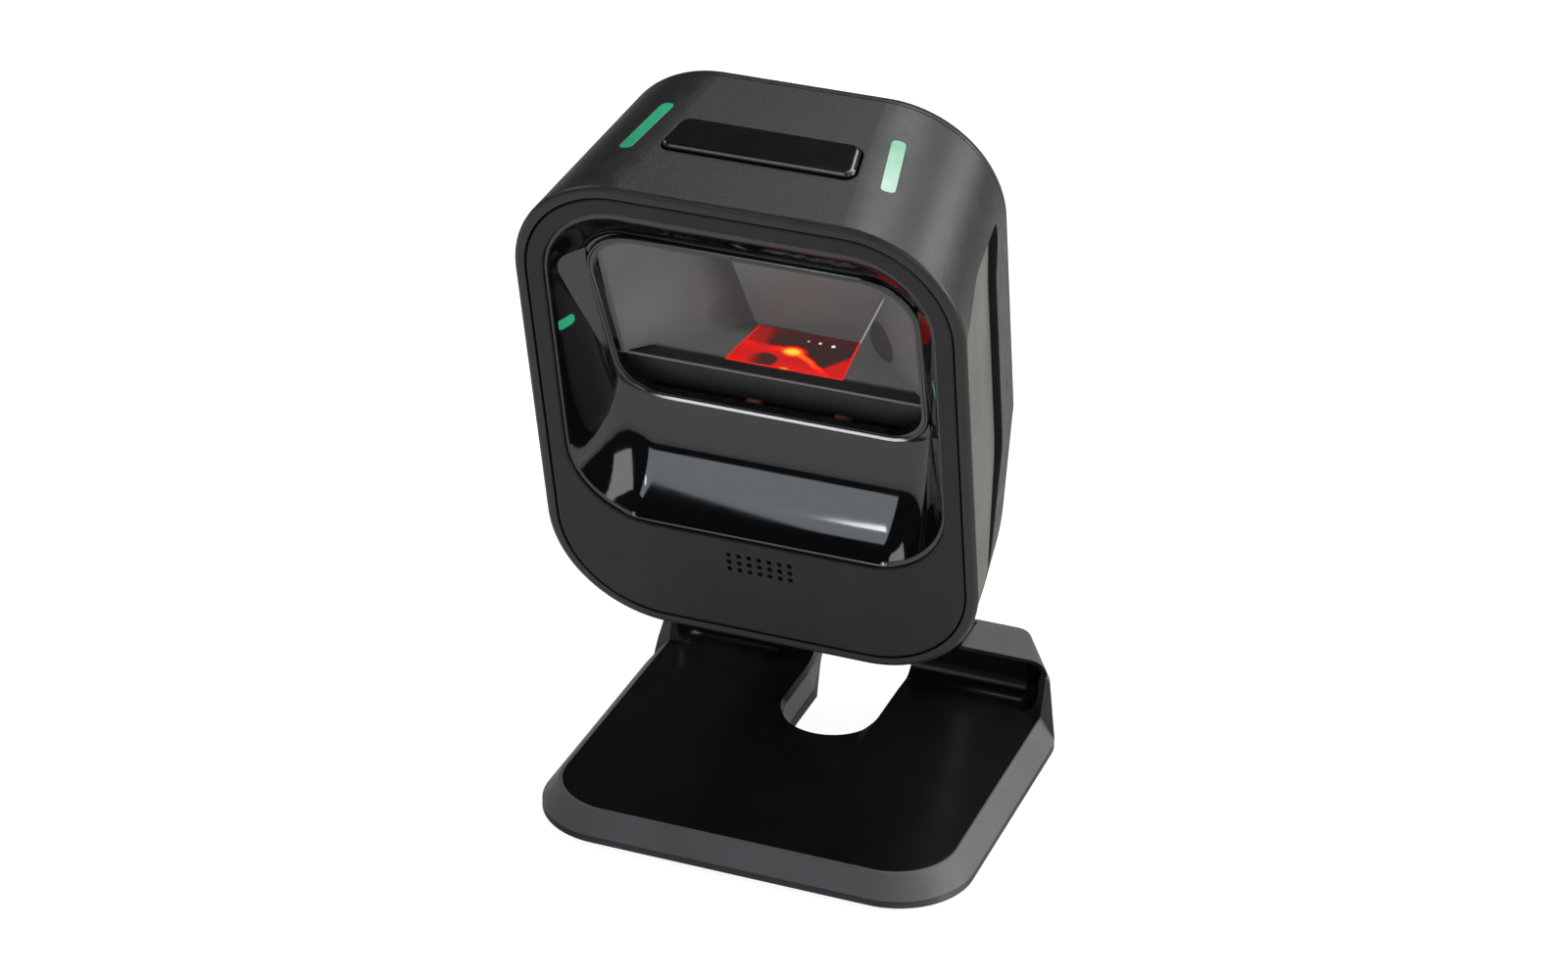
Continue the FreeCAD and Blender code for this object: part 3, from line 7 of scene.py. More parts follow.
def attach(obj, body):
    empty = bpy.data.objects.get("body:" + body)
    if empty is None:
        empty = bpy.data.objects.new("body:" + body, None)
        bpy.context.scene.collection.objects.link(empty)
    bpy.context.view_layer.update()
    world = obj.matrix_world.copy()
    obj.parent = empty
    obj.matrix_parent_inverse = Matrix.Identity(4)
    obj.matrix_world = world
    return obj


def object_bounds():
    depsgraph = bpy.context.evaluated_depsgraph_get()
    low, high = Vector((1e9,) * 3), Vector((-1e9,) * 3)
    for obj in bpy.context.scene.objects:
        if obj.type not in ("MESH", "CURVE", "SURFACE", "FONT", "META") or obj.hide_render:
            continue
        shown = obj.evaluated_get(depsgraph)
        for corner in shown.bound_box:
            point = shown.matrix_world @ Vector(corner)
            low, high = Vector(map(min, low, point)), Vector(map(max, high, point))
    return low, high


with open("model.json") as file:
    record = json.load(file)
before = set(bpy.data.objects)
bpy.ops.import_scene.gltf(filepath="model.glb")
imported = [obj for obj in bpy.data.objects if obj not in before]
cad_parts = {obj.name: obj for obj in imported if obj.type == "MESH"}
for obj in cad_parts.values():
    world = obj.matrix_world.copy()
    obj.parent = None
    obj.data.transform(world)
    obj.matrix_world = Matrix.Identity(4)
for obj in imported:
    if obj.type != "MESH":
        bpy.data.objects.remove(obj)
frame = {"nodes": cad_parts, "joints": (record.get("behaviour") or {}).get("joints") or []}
cad_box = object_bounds()

# Looks of the presentation barcode scanner. Metres, in the frame's own axes: +Z up, front towards -Y.
# Head pieces are placed in a head frame (x right, y backwards from the front face, z up) that
# the hinge and the button's direction of travel fix.

MM = 0.001
joints = {joint["name"]: joint for joint in frame["joints"]}
hinge = Vector(joints["head_tilt"]["pos_m"])
press = Vector(joints["button_press"]["axis"])
head_tilt = math.atan2(press.y, -press.z)
HINGE_IN_HEAD = Vector((0, 34.8, -37.7)) * MM
head_frame = (Matrix.Translation(hinge) @ Matrix.Rotation(head_tilt, 4, "X")
              @ Matrix.Translation(-HINGE_IN_HEAD))
low, high = cad_box
middle = (low + high) / 2


# ---------------------------------------------------------------- node helpers
BEVEL_SAMPLES = 4
EDGE_CONTRAST = 8.0                 # how fast a turned normal counts as an edge
# the Mix node has one set of sockets for each kind of data, told apart by place only
MIX_VECTOR_A, MIX_VECTOR_B, MIX_VECTOR_OUT = 4, 5, 1
MIX_COLOUR_A, MIX_COLOUR_B, MIX_COLOUR_OUT = 6, 7, 2


class Shader:
    """A material with one Principled shader, and short calls for the nodes that feed it."""

    def __init__(self, name):
        self.material = bpy.data.materials.new(name)
        self.material.use_nodes = True
        self.nodes = self.material.node_tree.nodes
        self.links = self.material.node_tree.links
        self.surface = self.nodes["Principled BSDF"]
        self.coords = self.nodes.new("ShaderNodeTexCoord").outputs["Object"]

    def set(self, **values):
        for name, value in values.items():
            self.surface.inputs[name.replace("_", " ")].default_value = value

    def feed(self, name, source):
        self.links.new(source, self.surface.inputs[name])

    def plug(self, socket, value):
        if isinstance(value, bpy.types.NodeSocket):
            self.links.new(value, socket)
        else:
            socket.default_value = value

    def math(self, operation, a, b=0.0, clamp=False):
        node = self.nodes.new("ShaderNodeMath")
        node.operation = operation
        node.use_clamp = clamp
        self.plug(node.inputs[0], a)
        self.plug(node.inputs[1], b)
        return node.outputs[0]

    def along(self, origin, axis):
        """How far a point of the surface lies beyond origin in the direction of axis, in mm."""
        place = self.vector("DOT_PRODUCT", self.coords, axis / MM)
        return self.math("SUBTRACT", place, origin.dot(axis) / MM)

    def fade(self, value, zero, one):
        """0 at and beyond one value, 1 at and beyond the other, smooth between them."""
        node = self.nodes.new("ShaderNodeMapRange")
        node.interpolation_type = "SMOOTHSTEP"
        node.inputs["From Min"].default_value = min(zero, one)
        node.inputs["From Max"].default_value = max(zero, one)
        node.inputs["To Min"].default_value = 0.0 if zero < one else 1.0
        node.inputs["To Max"].default_value = 1.0 if zero < one else 0.0
        self.links.new(value, node.inputs["Value"])
        return node.outputs[0]

    def band(self, value, middle, half, soft=0.5):
        """1 within half of the middle value, fading out over soft times half beyond it."""
        off = self.math("ABSOLUTE", self.math("SUBTRACT", value, middle))
        return self.fade(off, half * (1 + soft), half)

    def blob(self, a, b, middle, radii, soft=1.0):
        """1 in the middle of an ellipse in the coordinates a and b, 0 outside it."""
        da = self.math("DIVIDE", self.math("SUBTRACT", a, middle[0]), radii[0])
        db = self.math("DIVIDE", self.math("SUBTRACT", b, middle[1]), radii[1])
        square = self.math("ADD", self.math("MULTIPLY", da, da), self.math("MULTIPLY", db, db))
        return self.fade(square, 1.0, 1.0 - soft)

    def vector(self, operation, a, b=None):
        """Vector maths on one or two vectors: a plain number comes back where the sum is one."""
        node = self.nodes.new("ShaderNodeVectorMath")
        node.operation = operation
        self.plug(node.inputs[0], a)
        if b is not None:
            self.plug(node.inputs[1], b)
        return node.outputs["Value" if operation in ("DOT_PRODUCT", "LENGTH") else "Vector"]

    def all_of(self, *values):
        result = values[0]
        for value in values[1:]:
            result = self.math("MULTIPLY", result, value)
        return result

    def most_of(self, *values):
        result = values[0]
        for value in values[1:]:
            result = self.math("MAXIMUM", result, value)
        return result

    def noise(self, size, detail=2.0, roughness=0.5, stretch=(1, 1, 1)):
        """Noise with features of about that size in metres."""
        mapping = self.nodes.new("ShaderNodeMapping")
        mapping.inputs["Scale"].default_value = stretch
        self.links.new(self.coords, mapping.inputs["Vector"])
        node = self.nodes.new("ShaderNodeTexNoise")
        node.inputs["Scale"].default_value = 1 / size
        node.inputs["Detail"].default_value = detail
        node.inputs["Roughness"].default_value = roughness
        self.links.new(mapping.outputs[0], node.inputs["Vector"])
        return node.outputs["Fac"]

    def spots(self, size, randomness=1.0):
        """Distance to the nearest of many scattered points, for a pebbled surface."""
        node = self.nodes.new("ShaderNodeTexVoronoi")
        node.inputs["Scale"].default_value = 1 / size
        node.inputs["Randomness"].default_value = randomness
        self.links.new(self.coords, node.inputs["Vector"])
        return node.outputs["Distance"]

    def ramp(self, source, stops):
        """Colour that changes with source, through (place, colour) stops."""
        node = self.nodes.new("ShaderNodeValToRGB")
        ramp = node.color_ramp
        while len(ramp.elements) < len(stops):
            ramp.elements.new(0.5)
        for element, (place, colour) in zip(ramp.elements, stops):
            element.position = place
            element.color = (*colour, 1)
        self.links.new(source, node.inputs["Fac"])
        return node.outputs["Color"]

    def span(self, source, low, high):
        """Values from 0..1 spread over low..high."""
        node = self.nodes.new("ShaderNodeMapRange")
        node.inputs["From Min"].default_value = 0.25
        node.inputs["From Max"].default_value = 0.75
        node.inputs["To Min"].default_value = low
        node.inputs["To Max"].default_value = high
        self.links.new(source, node.inputs["Value"])
        return node.outputs[0]

    def mix(self, share, a, b):
        """Colour a where share is 0 and colour b where it is 1."""
        node = self.nodes.new("ShaderNodeMix")
        node.data_type = "RGBA"
        self.plug(node.inputs["Factor"], share)
        for socket, value in ((node.inputs[MIX_COLOUR_A], a), (node.inputs[MIX_COLOUR_B], b)):
            self.plug(socket, value if isinstance(value, bpy.types.NodeSocket) else (*value, 1))
        return node.outputs[MIX_COLOUR_OUT]

    def mix_normals(self, share, a, b):
        """Normal a where share is 0 and normal b where it is 1."""
        node = self.nodes.new("ShaderNodeMix")
        node.data_type = "VECTOR"
        self.plug(node.inputs["Factor"], share)
        self.plug(node.inputs[MIX_VECTOR_A], a)
        self.plug(node.inputs[MIX_VECTOR_B], b)
        return self.vector("NORMALIZE", node.outputs[MIX_VECTOR_OUT])

    def rounded_normal(self, radius):
        """The surface's normal as it would be with its edges rounded to that radius."""
        bevel = self.nodes.new("ShaderNodeBevel")
        bevel.samples = BEVEL_SAMPLES
        bevel.inputs["Radius"].default_value = radius
        return bevel.outputs[0]

    def edges(self, radius):
        """1 along edges sharper than that radius, 0 on the open surface."""
        normal = self.nodes.new("ShaderNodeNewGeometry").outputs["Normal"]
        turned = self.math("SUBTRACT", 1.0, self.vector("DOT_PRODUCT", self.rounded_normal(radius), normal))
        return self.math("MULTIPLY", turned, EDGE_CONTRAST, clamp=True)

    def bump(self, height, distance, strength=1.0, round_edges=0.0, normal=None):
        """Relief from height, on the surface's own normal, one with rounded edges or a given one."""
        node = self.nodes.new("ShaderNodeBump")
        node.inputs["Distance"].default_value = distance
        node.inputs["Strength"].default_value = strength
        self.links.new(height, node.inputs["Height"])
        if round_edges:
            normal = self.rounded_normal(round_edges)
        if normal is not None:
            self.links.new(normal, node.inputs["Normal"])
        self.feed("Normal", node.outputs[0])


def moulded(name, colour, rough, grain, depth, specular=0.5, worn=1.35, edge=0.25 * MM):
    """Textured moulded plastic: fine grain, faint clouds of shade and gloss, and rubbed edges."""
    s = Shader(name)
    clouds = s.noise(18 * MM, 3.0)
    pale = tuple(min(1.0, c * 1.16) for c in colour)
    dull = tuple(c * 0.86 for c in colour)
    body = s.ramp(clouds, [(0.3, dull), (0.7, pale)])
    rubbed = tuple(min(1.0, c * worn + 0.006) for c in colour)
    s.feed("Base Color", s.mix(s.math("MULTIPLY", s.edges(edge), 0.6), body, rubbed))
    s.feed("Roughness", s.span(s.noise(3 * MM, 4.0), rough - 0.05, rough + 0.06))
    s.bump(s.math("ADD", s.spots(grain), s.noise(grain * 0.6, 2.0)), depth, 1.0, edge)
    s.set(Specular_IOR_Level=specular)
    return s.material


def polished(name, colour, rough=0.06, specular=0.5, round_edges=0.2 * MM):
    """Glossy moulding with faint orange peel and a haze of dust in its gloss."""
    s = Shader(name)
    dull = tuple(c * 0.8 for c in colour)
    s.feed("Base Color", s.ramp(s.noise(12 * MM, 2.0), [(0.3, dull), (0.7, colour)]))
    haze = s.noise(7 * MM, 5.0, 0.6)
    s.feed("Roughness", s.span(haze, rough, rough + 0.05))
    s.bump(s.noise(0.6 * MM, 2.0), 0.001 * MM, 0.3, round_edges)
    s.set(Specular_IOR_Level=specular)
    return s.material


def recess_gloss(name):
    """Gloss of the recess moulding, with the exact curve of its scooped floor in its reflections."""
    s = Shader(name)
    s.set(Base_Color=(0.003, 0.003, 0.0035, 1), Specular_IOR_Level=0.55)
    s.feed("Roughness", s.span(s.noise(7 * MM, 5.0, 0.6), 0.04, 0.09))
    axis = in_head(0, *SCOOP_CENTRE)
    away = s.vector("SUBTRACT", axis, s.coords)
    arm = s.vector("SUBTRACT", away, s.vector("PROJECT", away, ACROSS))     # square to the scoop's axis
    reach = s.math("DIVIDE", s.vector("LENGTH", arm), MM)
    x, z = s.along(axis, ACROSS), s.along(in_head(0, 0, 0), UPWARDS)
    on_scoop = s.all_of(s.band(reach, SCOOP_RADIUS, 0.25, 2.0), s.fade(s.math("ABSOLUTE", x), 27.0, 22.0),
                        s.fade(z, -6.5, -8.5))
    turn = s.nodes.new("ShaderNodeVectorTransform")
    turn.vector_type = "NORMAL"
    turn.convert_from, turn.convert_to = "OBJECT", "WORLD"
    s.links.new(s.vector("NORMALIZE", arm), turn.inputs[0])
    normal = s.mix_normals(on_scoop, s.rounded_normal(0.2 * MM), turn.outputs[0])
    s.bump(s.noise(0.6 * MM), 0.001 * MM, 0.3, normal=normal)
    return s.material


def edge_gloss(name):
    """Polished edge, with a painted highlight: its colour is paler along the bottom of the window."""
    s = Shader(name)
    up = s.along(on_window(0, 0, 0), head_axis(*WINDOW_UP))
    across = s.along(in_head(0, 0, 0), ACROSS)
    # painted highlight: a pale colour along the window's lower edge stands in for its bright reflection
    painted_lip_highlight = s.all_of(s.fade(up, 1.6, 0.9), s.fade(across, -24, -19))
    s.feed("Base Color", s.mix(painted_lip_highlight, (0.004, 0.004, 0.0045), (0.75, 0.75, 0.78)))
    s.feed("Roughness", s.span(s.noise(3 * MM), 0.08, 0.16))
    s.bump(s.noise(0.6 * MM), 0.001 * MM, 0.3)
    s.set(Specular_IOR_Level=0.6)
    return s.material


def metal(name, colour, rough, stretch=(1, 1, 1)):
    """Bare or plated metal with fine scratches."""
    s = Shader(name)
    dull = tuple(c * 0.85 for c in colour)
    s.feed("Base Color", s.ramp(s.noise(2 * MM, 3.0), [(0.3, dull), (0.7, colour)]))
    s.feed("Roughness", s.span(s.noise(0.4 * MM, 3.0, 0.5, stretch), rough - 0.06, rough + 0.08))
    s.bump(s.noise(0.3 * MM, 2.0, 0.5, stretch), 0.01 * MM, 0.6, 0.1 * MM)
    s.set(Metallic=1.0)
    return s.material


def board(name):
    """Solder mask with tracks under it and pale pads."""
    s = Shader(name)
    tracks = s.nodes.new("ShaderNodeTexBrick")
    s.links.new(s.coords, tracks.inputs["Vector"])
    tracks.inputs["Scale"].default_value = 260
    tracks.inputs["Color1"].default_value = (0.006, 0.06, 0.022, 1)
    tracks.inputs["Color2"].default_value = (0.010, 0.09, 0.034, 1)
    tracks.inputs["Mortar"].default_value = (0.03, 0.16, 0.06, 1)
    s.feed("Base Color", tracks.outputs["Color"])
    s.feed("Roughness", s.span(s.noise(1.5 * MM), 0.28, 0.4))
    s.bump(tracks.outputs["Fac"], 0.03 * MM, 0.6, 0.1 * MM)
    return s.material


def glass(name, tint, clear, rough=0.02):
    """Clear sheet: mostly see-through face on, more of a mirror at a slant."""
    s = Shader(name)
    s.feed("Base Color", s.ramp(s.noise(20 * MM), [(0.3, tint), (0.7, tuple(c * 1.1 for c in tint))]))
    slant = s.nodes.new("ShaderNodeLayerWeight")
    slant.inputs["Blend"].default_value = 0.5
    mirror_share = s.math("POWER", slant.outputs["Facing"], 4.0)
    s.feed("Alpha", s.math("ADD", mirror_share, 1 - clear, clamp=True))
    s.feed("Roughness", s.span(s.noise(9 * MM, 4.0), rough, rough + 0.03))
    s.set(Specular_IOR_Level=0.5)
    return s.material


def lit(name, stops, axis_from, axis_to, strength):
    """Translucent light guide, lit from inside, its colour changing along a line."""
    s = Shader(name)
    line = axis_to - axis_from
    place = s.vector("DOT_PRODUCT", s.vector("SUBTRACT", s.coords, axis_from), line / line.length_squared)
    colour = s.ramp(s.math("ADD", place, s.math("MULTIPLY", s.noise(1.5 * MM), 0.12)), stops)
    s.feed("Base Color", s.mix(0.7, colour, (0.02, 0.02, 0.02)))
    s.feed("Emission Color", colour)
    s.feed("Roughness", s.span(s.noise(2 * MM), 0.25, 0.4))
    s.bump(s.noise(0.8 * MM), 0.03 * MM, 0.5, 0.2 * MM)
    s.set(Emission_Strength=strength)
    return s.material


# ---------------------------------------------------------------- places in the head
def in_head(x, y, z):
    """Place in the frame of a point given in the head's own millimetres."""
    return head_frame @ (Vector((x, y, z)) * MM)


def head_axis(x, y, z):
    """Unit direction in the frame of a direction given in the head."""
    return (head_frame.to_3x3() @ Vector((x, y, z))).normalized()


ACROSS, BACKWARDS, UPWARDS = head_axis(1, 0, 0), head_axis(0, 1, 0), head_axis(0, 0, 1)
WINDOW_LIP, WINDOW_TOP = Vector((0, 12.6, -5.7)), Vector((0, 5.6, 35.2))
WINDOW_LENGTH = (WINDOW_TOP - WINDOW_LIP).length
WINDOW_UP = (WINDOW_TOP - WINDOW_LIP).normalized()
WINDOW_IN = Vector((0, WINDOW_UP.z, -WINDOW_UP.y))
WINDOW_LOW_HALF, WINDOW_HIGH_HALF = 29.6, 31.4
SHROUD_DEPTH = 2.9                  # chamber walls start this deep behind the window plane
FLOOR_START = 7.0                   # the chamber's floor starts this far up the window
CHAMBER_BACK, CHAMBER_FLOOR = 32.0, -1.0
ENGINE_FRONT, ENGINE_BACK = 17.95, 31.35
ENGINE_FRONT_HALF, ENGINE_BACK_HALF = 11.25, 9.75
SCOOP_CENTRE, SCOOP_RADIUS = (-8.1, -5.6), 20.7


def on_window(x, up, depth):
    """Point x sideways, up the window's slope and depth behind its plane, in mm."""
    return in_head(*(Vector((x, 0, 0)) + WINDOW_LIP + WINDOW_UP * up + WINDOW_IN * depth))


# ---------------------------------------------------------------- materials with a place on them
# marks on the chamber's side walls, (y, z) in the head and their half sizes
RIGHT_DISC, RIGHT_DISC_SIZE = (28.3, 2.8), (4.0, 3.2)
LEFT_DISC, LEFT_DISC_SIZE = (28.0, 3.4), (2.4, 2.8)
BACK_WALL_FRONT = 31.8              # the chamber's back wall starts here
# the right back corner runs up and outwards: x = CORNER_X + CORNER_LEAN * z
CORNER_X, CORNER_LEAN = 10.1, 0.46
CHAMBER_DULL, CHAMBER_PALE = (0.115, 0.116, 0.112), (0.14, 0.141, 0.138)
CHAMBER_BLACK, CHAMBER_SHADE = (0.006, 0.006, 0.006), (0.03, 0.03, 0.03)
# colours of the painted highlights on the floor's front edge and down the right back corner
FLOOR_EDGE_HIGHLIGHT_GREY, GLINT_GREY = (0.16, 0.16, 0.16), (0.5, 0.5, 0.5)


def funnel():
    """Grey chamber walls that glow faintly in their own colour, painted light that lights the chamber. The
    apron under the floor's edge and the floor in front of the engine are black.
    """
    s = Shader("funnel_plastic")
    origin = in_head(0, 0, 0)
    x, y, z = s.along(origin, ACROSS), s.along(origin, BACKWARDS), s.along(origin, UPWARDS)
    up = s.along(on_window(0, 0, 0), head_axis(*WINDOW_UP))
    depth = s.along(on_window(0, 0, 0), head_axis(*WINDOW_IN))
    start = WINDOW_LIP + WINDOW_UP * FLOOR_START + WINDOW_IN * SHROUD_DEPTH
    slope = Vector((0, CHAMBER_BACK, CHAMBER_FLOOR)) - start
    above = s.along(in_head(*start), head_axis(0, -slope.z, slope.y))
    floor = s.fade(above, 0.3, 0.15)                                  # the sloping floor
    front = s.fade(depth, SHROUD_DEPTH + 0.6, SHROUD_DEPTH + 0.4)     # the face right behind the window
    apron = s.all_of(front, s.fade(up, FLOOR_START + 0.05, FLOOR_START - 0.05))
    floor_front = s.all_of(floor, s.fade(y, 19.2, 17.8))
    # painted highlights: a pale line along the floor's front edge, and a glint down the right back corner
    edge = s.all_of(front, s.band(up, FLOOR_START, 0.16))
    corner = s.math("SUBTRACT", x, s.math("ADD", s.math("MULTIPLY", z, CORNER_LEAN), CORNER_X))
    glint = s.all_of(s.band(corner, 0.0, 0.14), s.fade(y, 28.5, 29.5), s.fade(z, 12.0, 9.0))
    # faint discs on the two side walls
    right_mark = s.all_of(s.fade(x, 5, 6), s.blob(y, z, RIGHT_DISC, RIGHT_DISC_SIZE, 0.15),
                          s.fade(y, BACK_WALL_FRONT, BACK_WALL_FRONT - 0.3))
    left_mark = s.all_of(s.fade(x, -5, -6), s.blob(y, z, LEFT_DISC, LEFT_DISC_SIZE, 0.3))
    clouds = s.ramp(s.noise(14 * MM, 3.0), [(0.3, CHAMBER_DULL), (0.7, CHAMBER_PALE)])
    # shade in the left back corner
    corner_shade = s.all_of(s.fade(x, 0, -4), s.fade(y, 25, 31),
                            s.fade(y, BACK_WALL_FRONT + 0.1, BACK_WALL_FRONT - 0.1))
    walls = s.mix(s.math("MULTIPLY", corner_shade, 0.7), clouds, CHAMBER_SHADE)
    walls = s.mix(s.math("MULTIPLY", right_mark, 0.75), walls, (0.035, 0.036, 0.034))
    walls = s.mix(s.math("MULTIPLY", left_mark, 0.22), walls, (0.04, 0.04, 0.04))
    walls = s.mix(s.most_of(apron, floor_front), walls, CHAMBER_BLACK)
    colour = s.mix(glint, s.mix(edge, walls, FLOOR_EDGE_HIGHLIGHT_GREY), GLINT_GREY)
    s.feed("Base Color", colour)
    # the walls glow with their own colour: painted light standing in for the light inside the chamber
    s.feed("Emission Color", colour)
    s.feed("Roughness", s.span(s.noise(3 * MM), 0.42, 0.52))
    s.bump(s.noise(0.5 * MM), 0.004 * MM, 0.5)
    s.set(Specular_IOR_Level=0.3, Emission_Strength=0.35)
    return s.material


# colour of the painted glow from darkest to brightest
GLOW_COLOURS = [(0.0, (0.012, 0.011, 0.011)), (0.2, (0.09, 0.003, 0.003)), (0.5, (0.55, 0.001, 0.001)),
        (0.75, (1.0, 0.006, 0.0)), (0.9, (1.0, 0.2, 0.002)), (1.0, (1.0, 0.72, 0.05))]
# painted reflections of the lamps: place, half size and brightness
LAMP_DOTS = [((0.54, 0.80), (0.016, 0.028), 0.55), ((0.65, 0.80), (0.019, 0.034), 0.8),
             ((0.78, 0.78), (0.023, 0.04), 1.0)]


def engine_glow():
    """Painted red glow on the engine's pane, standing in for the lit engine seen through it: s runs left to
    right over it, t from front to back.
    """
    shader = Shader("engine_red")
    x = shader.along(in_head(0, 0, 0), ACROSS)
    y = shader.along(in_head(0, ENGINE_FRONT, 0), BACKWARDS)
    t = shader.math("DIVIDE", y, ENGINE_BACK - ENGINE_FRONT)
    narrowing = 2 * (ENGINE_BACK_HALF - ENGINE_FRONT_HALF)
    wide = shader.math("ADD", shader.math("MULTIPLY", t, narrowing), 2 * ENGINE_FRONT_HALF)
    s = shader.math("ADD", shader.math("DIVIDE", x, wide), 0.5)

    def level(source, stops):
        return shader.ramp(source, [(place, (value, value, value)) for place, value in stops])

    flicker = shader.math("MULTIPLY", shader.math("SUBTRACT", shader.noise(2.2 * MM, 2.0), 0.5), 0.12)
    # a bright wavy ridge from left to right, with a hot peak on it and a softer red field below it
    crest = level(s, [(0.0, 0.66), (0.27, 0.47), (0.45, 0.52), (0.58, 0.40), (0.69, 0.25), (0.87, 0.02)])
    below = shader.math("SUBTRACT", shader.math("ADD", t, flicker), crest)
    ridge = shader.all_of(shader.band(below, 0.0, 0.03, 3.5),
                          level(s, [(0.1, 0.35), (0.3, 0.7), (0.5, 0.92), (0.8, 0.75), (1.0, 0.4)]))
    under = shader.all_of(shader.fade(below, 0.02, -0.06),
                          level(t, [(0.0, 0.62), (0.25, 0.5), (0.6, 0.66)]))
    block = shader.blob(s, t, (0.29, 0.16), (0.13, 0.2), 0.5)
    under = shader.all_of(under, shader.math("SUBTRACT", 1.0, shader.math("MULTIPLY", block, 0.85)))
    peak = shader.blob(s, t, (0.47, 0.47), (0.17, 0.2))
    # dimmer haze on the left, a wedge at the right, the pane's lit rim, a sparkle and two fine lines
    haze = shader.all_of(shader.fade(s, 0.34, 0.1), level(t, [(0.0, 0.6), (0.6, 0.42), (1.0, 0.3)]))
    corner = shader.math("MULTIPLY", shader.math("SUBTRACT", s, 0.68), 2.1)
    wedge = shader.math("MULTIPLY", shader.fade(shader.math("SUBTRACT", t, corner), 0.04, -0.12), 0.52)
    rim = shader.math("MULTIPLY", shader.most_of(
        shader.fade(t, 0.05, 0.02), shader.fade(s, 0.03, 0.012), shader.fade(s, 0.975, 0.99)), 0.66)
    sparkle = shader.math("MULTIPLY", shader.blob(s, t, (0.5, 0.03), (0.08, 0.05)), 0.93)
    lines = shader.math("MULTIPLY", shader.most_of(
        shader.band(t, 0.87, 0.008), shader.band(t, 0.95, 0.01)), 0.22)
    glow_level = shader.most_of(ridge, under, peak, haze, wedge, rim, sparkle, lines, 0.05)
    colour = shader.ramp(glow_level, GLOW_COLOURS)
    dots = shader.most_of(*(shader.math("MULTIPLY", shader.blob(s, t, place, size, 0.6), brightness)
                            for place, size, brightness in LAMP_DOTS))
    colour = shader.mix(dots, colour, (0.85, 0.8, 0.8))
    shader.feed("Base Color", shader.mix(0.8, colour, (0.02, 0.018, 0.018)))
    shader.feed("Emission Color", colour)
    shader.feed("Roughness", shader.span(shader.noise(3 * MM), 0.05, 0.1))
    shader.bump(shader.noise(4 * MM), 0.01 * MM, 0.3)
    shader.set(Emission_Strength=1.0)
    return shader.material


# ---------------------------------------------------------------- materials
shell_plastic = moulded("shell_plastic", (0.0085, 0.0085, 0.0087), 0.38, 0.22 * MM, 0.02 * MM, 0.3)
face_plastic = moulded("face_plastic", (0.009, 0.009, 0.009), 0.42, 0.18 * MM, 0.01 * MM, 0.2)
panel_plastic = moulded("panel_plastic", (0.085, 0.086, 0.077), 0.65, 0.42 * MM, 0.06 * MM, 0.2)
base_plastic = moulded("base_plastic", (0.059, 0.060, 0.064), 0.5, 0.26 * MM, 0.03 * MM, 0.3)
black_plastic = moulded("black_plastic", (0.012, 0.012, 0.012), 0.5, 0.25 * MM, 0.02 * MM, 0.4)
funnel_plastic = funnel()
deck_plastic = polished("deck_plastic", (0.003, 0.003, 0.003), 0.2, 0.18)
gloss_black = polished("gloss_black", (0.003, 0.003, 0.0035), 0.04, 0.55)
recess_black = recess_gloss("recess_black")
button_black = polished("button_black", (0.004, 0.004, 0.004), 0.1, 0.6, 0.5 * MM)
rubber = moulded("rubber", (0.018, 0.018, 0.018), 0.8, 0.5 * MM, 0.04 * MM, 0.3)
foam = moulded("foam", (0.02, 0.02, 0.02), 0.95, 0.3 * MM, 0.12 * MM, 0.2)
nylon = moulded("nylon", (0.62, 0.60, 0.54), 0.45, 0.3 * MM, 0.01 * MM, 0.5, 1.05)
chip = moulded("chip", (0.02, 0.02, 0.021), 0.55, 0.2 * MM, 0.01 * MM, 0.4)
steel = metal("steel", (0.56, 0.56, 0.57), 0.3)
gold = metal("gold", (0.83, 0.62, 0.28), 0.25)
mirror = metal("mirror", (0.82, 0.83, 0.84), 0.08)
green_board = board("green_board")
window_glass = glass("window_glass", (0.01, 0.011, 0.0105), 0.985)
lens_glass = glass("lens_glass", (0.05, 0.04, 0.09), 0.5)
lamp_clear = polished("lamp_clear", (0.75, 0.75, 0.68), 0.15)

GREEN = [(0.0, (0.006, 0.30, 0.14)), (1.0, (0.012, 0.40, 0.19))]
PALE_GREEN = [(0.0, (0.42, 0.62, 0.52)), (0.45, (0.30, 0.62, 0.45)), (1.0, (0.07, 0.45, 0.24))]
BAR_FRONT, BAR_BACK = (24, 12.7, 45), (21.2, 26.9, 48)              # ends of the right light bar
LEFT_BAR_FRONT, LEFT_BAR_BACK = (-24, 12.7, 45), (-21.2, 26.9, 48)
bar_left = lit("bar_left", GREEN, in_head(*LEFT_BAR_FRONT), in_head(*LEFT_BAR_BACK), 0.5)
bar_right = lit("bar_right", PALE_GREEN, in_head(*BAR_FRONT), in_head(*BAR_BACK), 0.32)
side_green = lit("side_green", GREEN, in_head(0, 1, 15), in_head(0, 6, 16), 0.65)
engine_red = engine_glow()

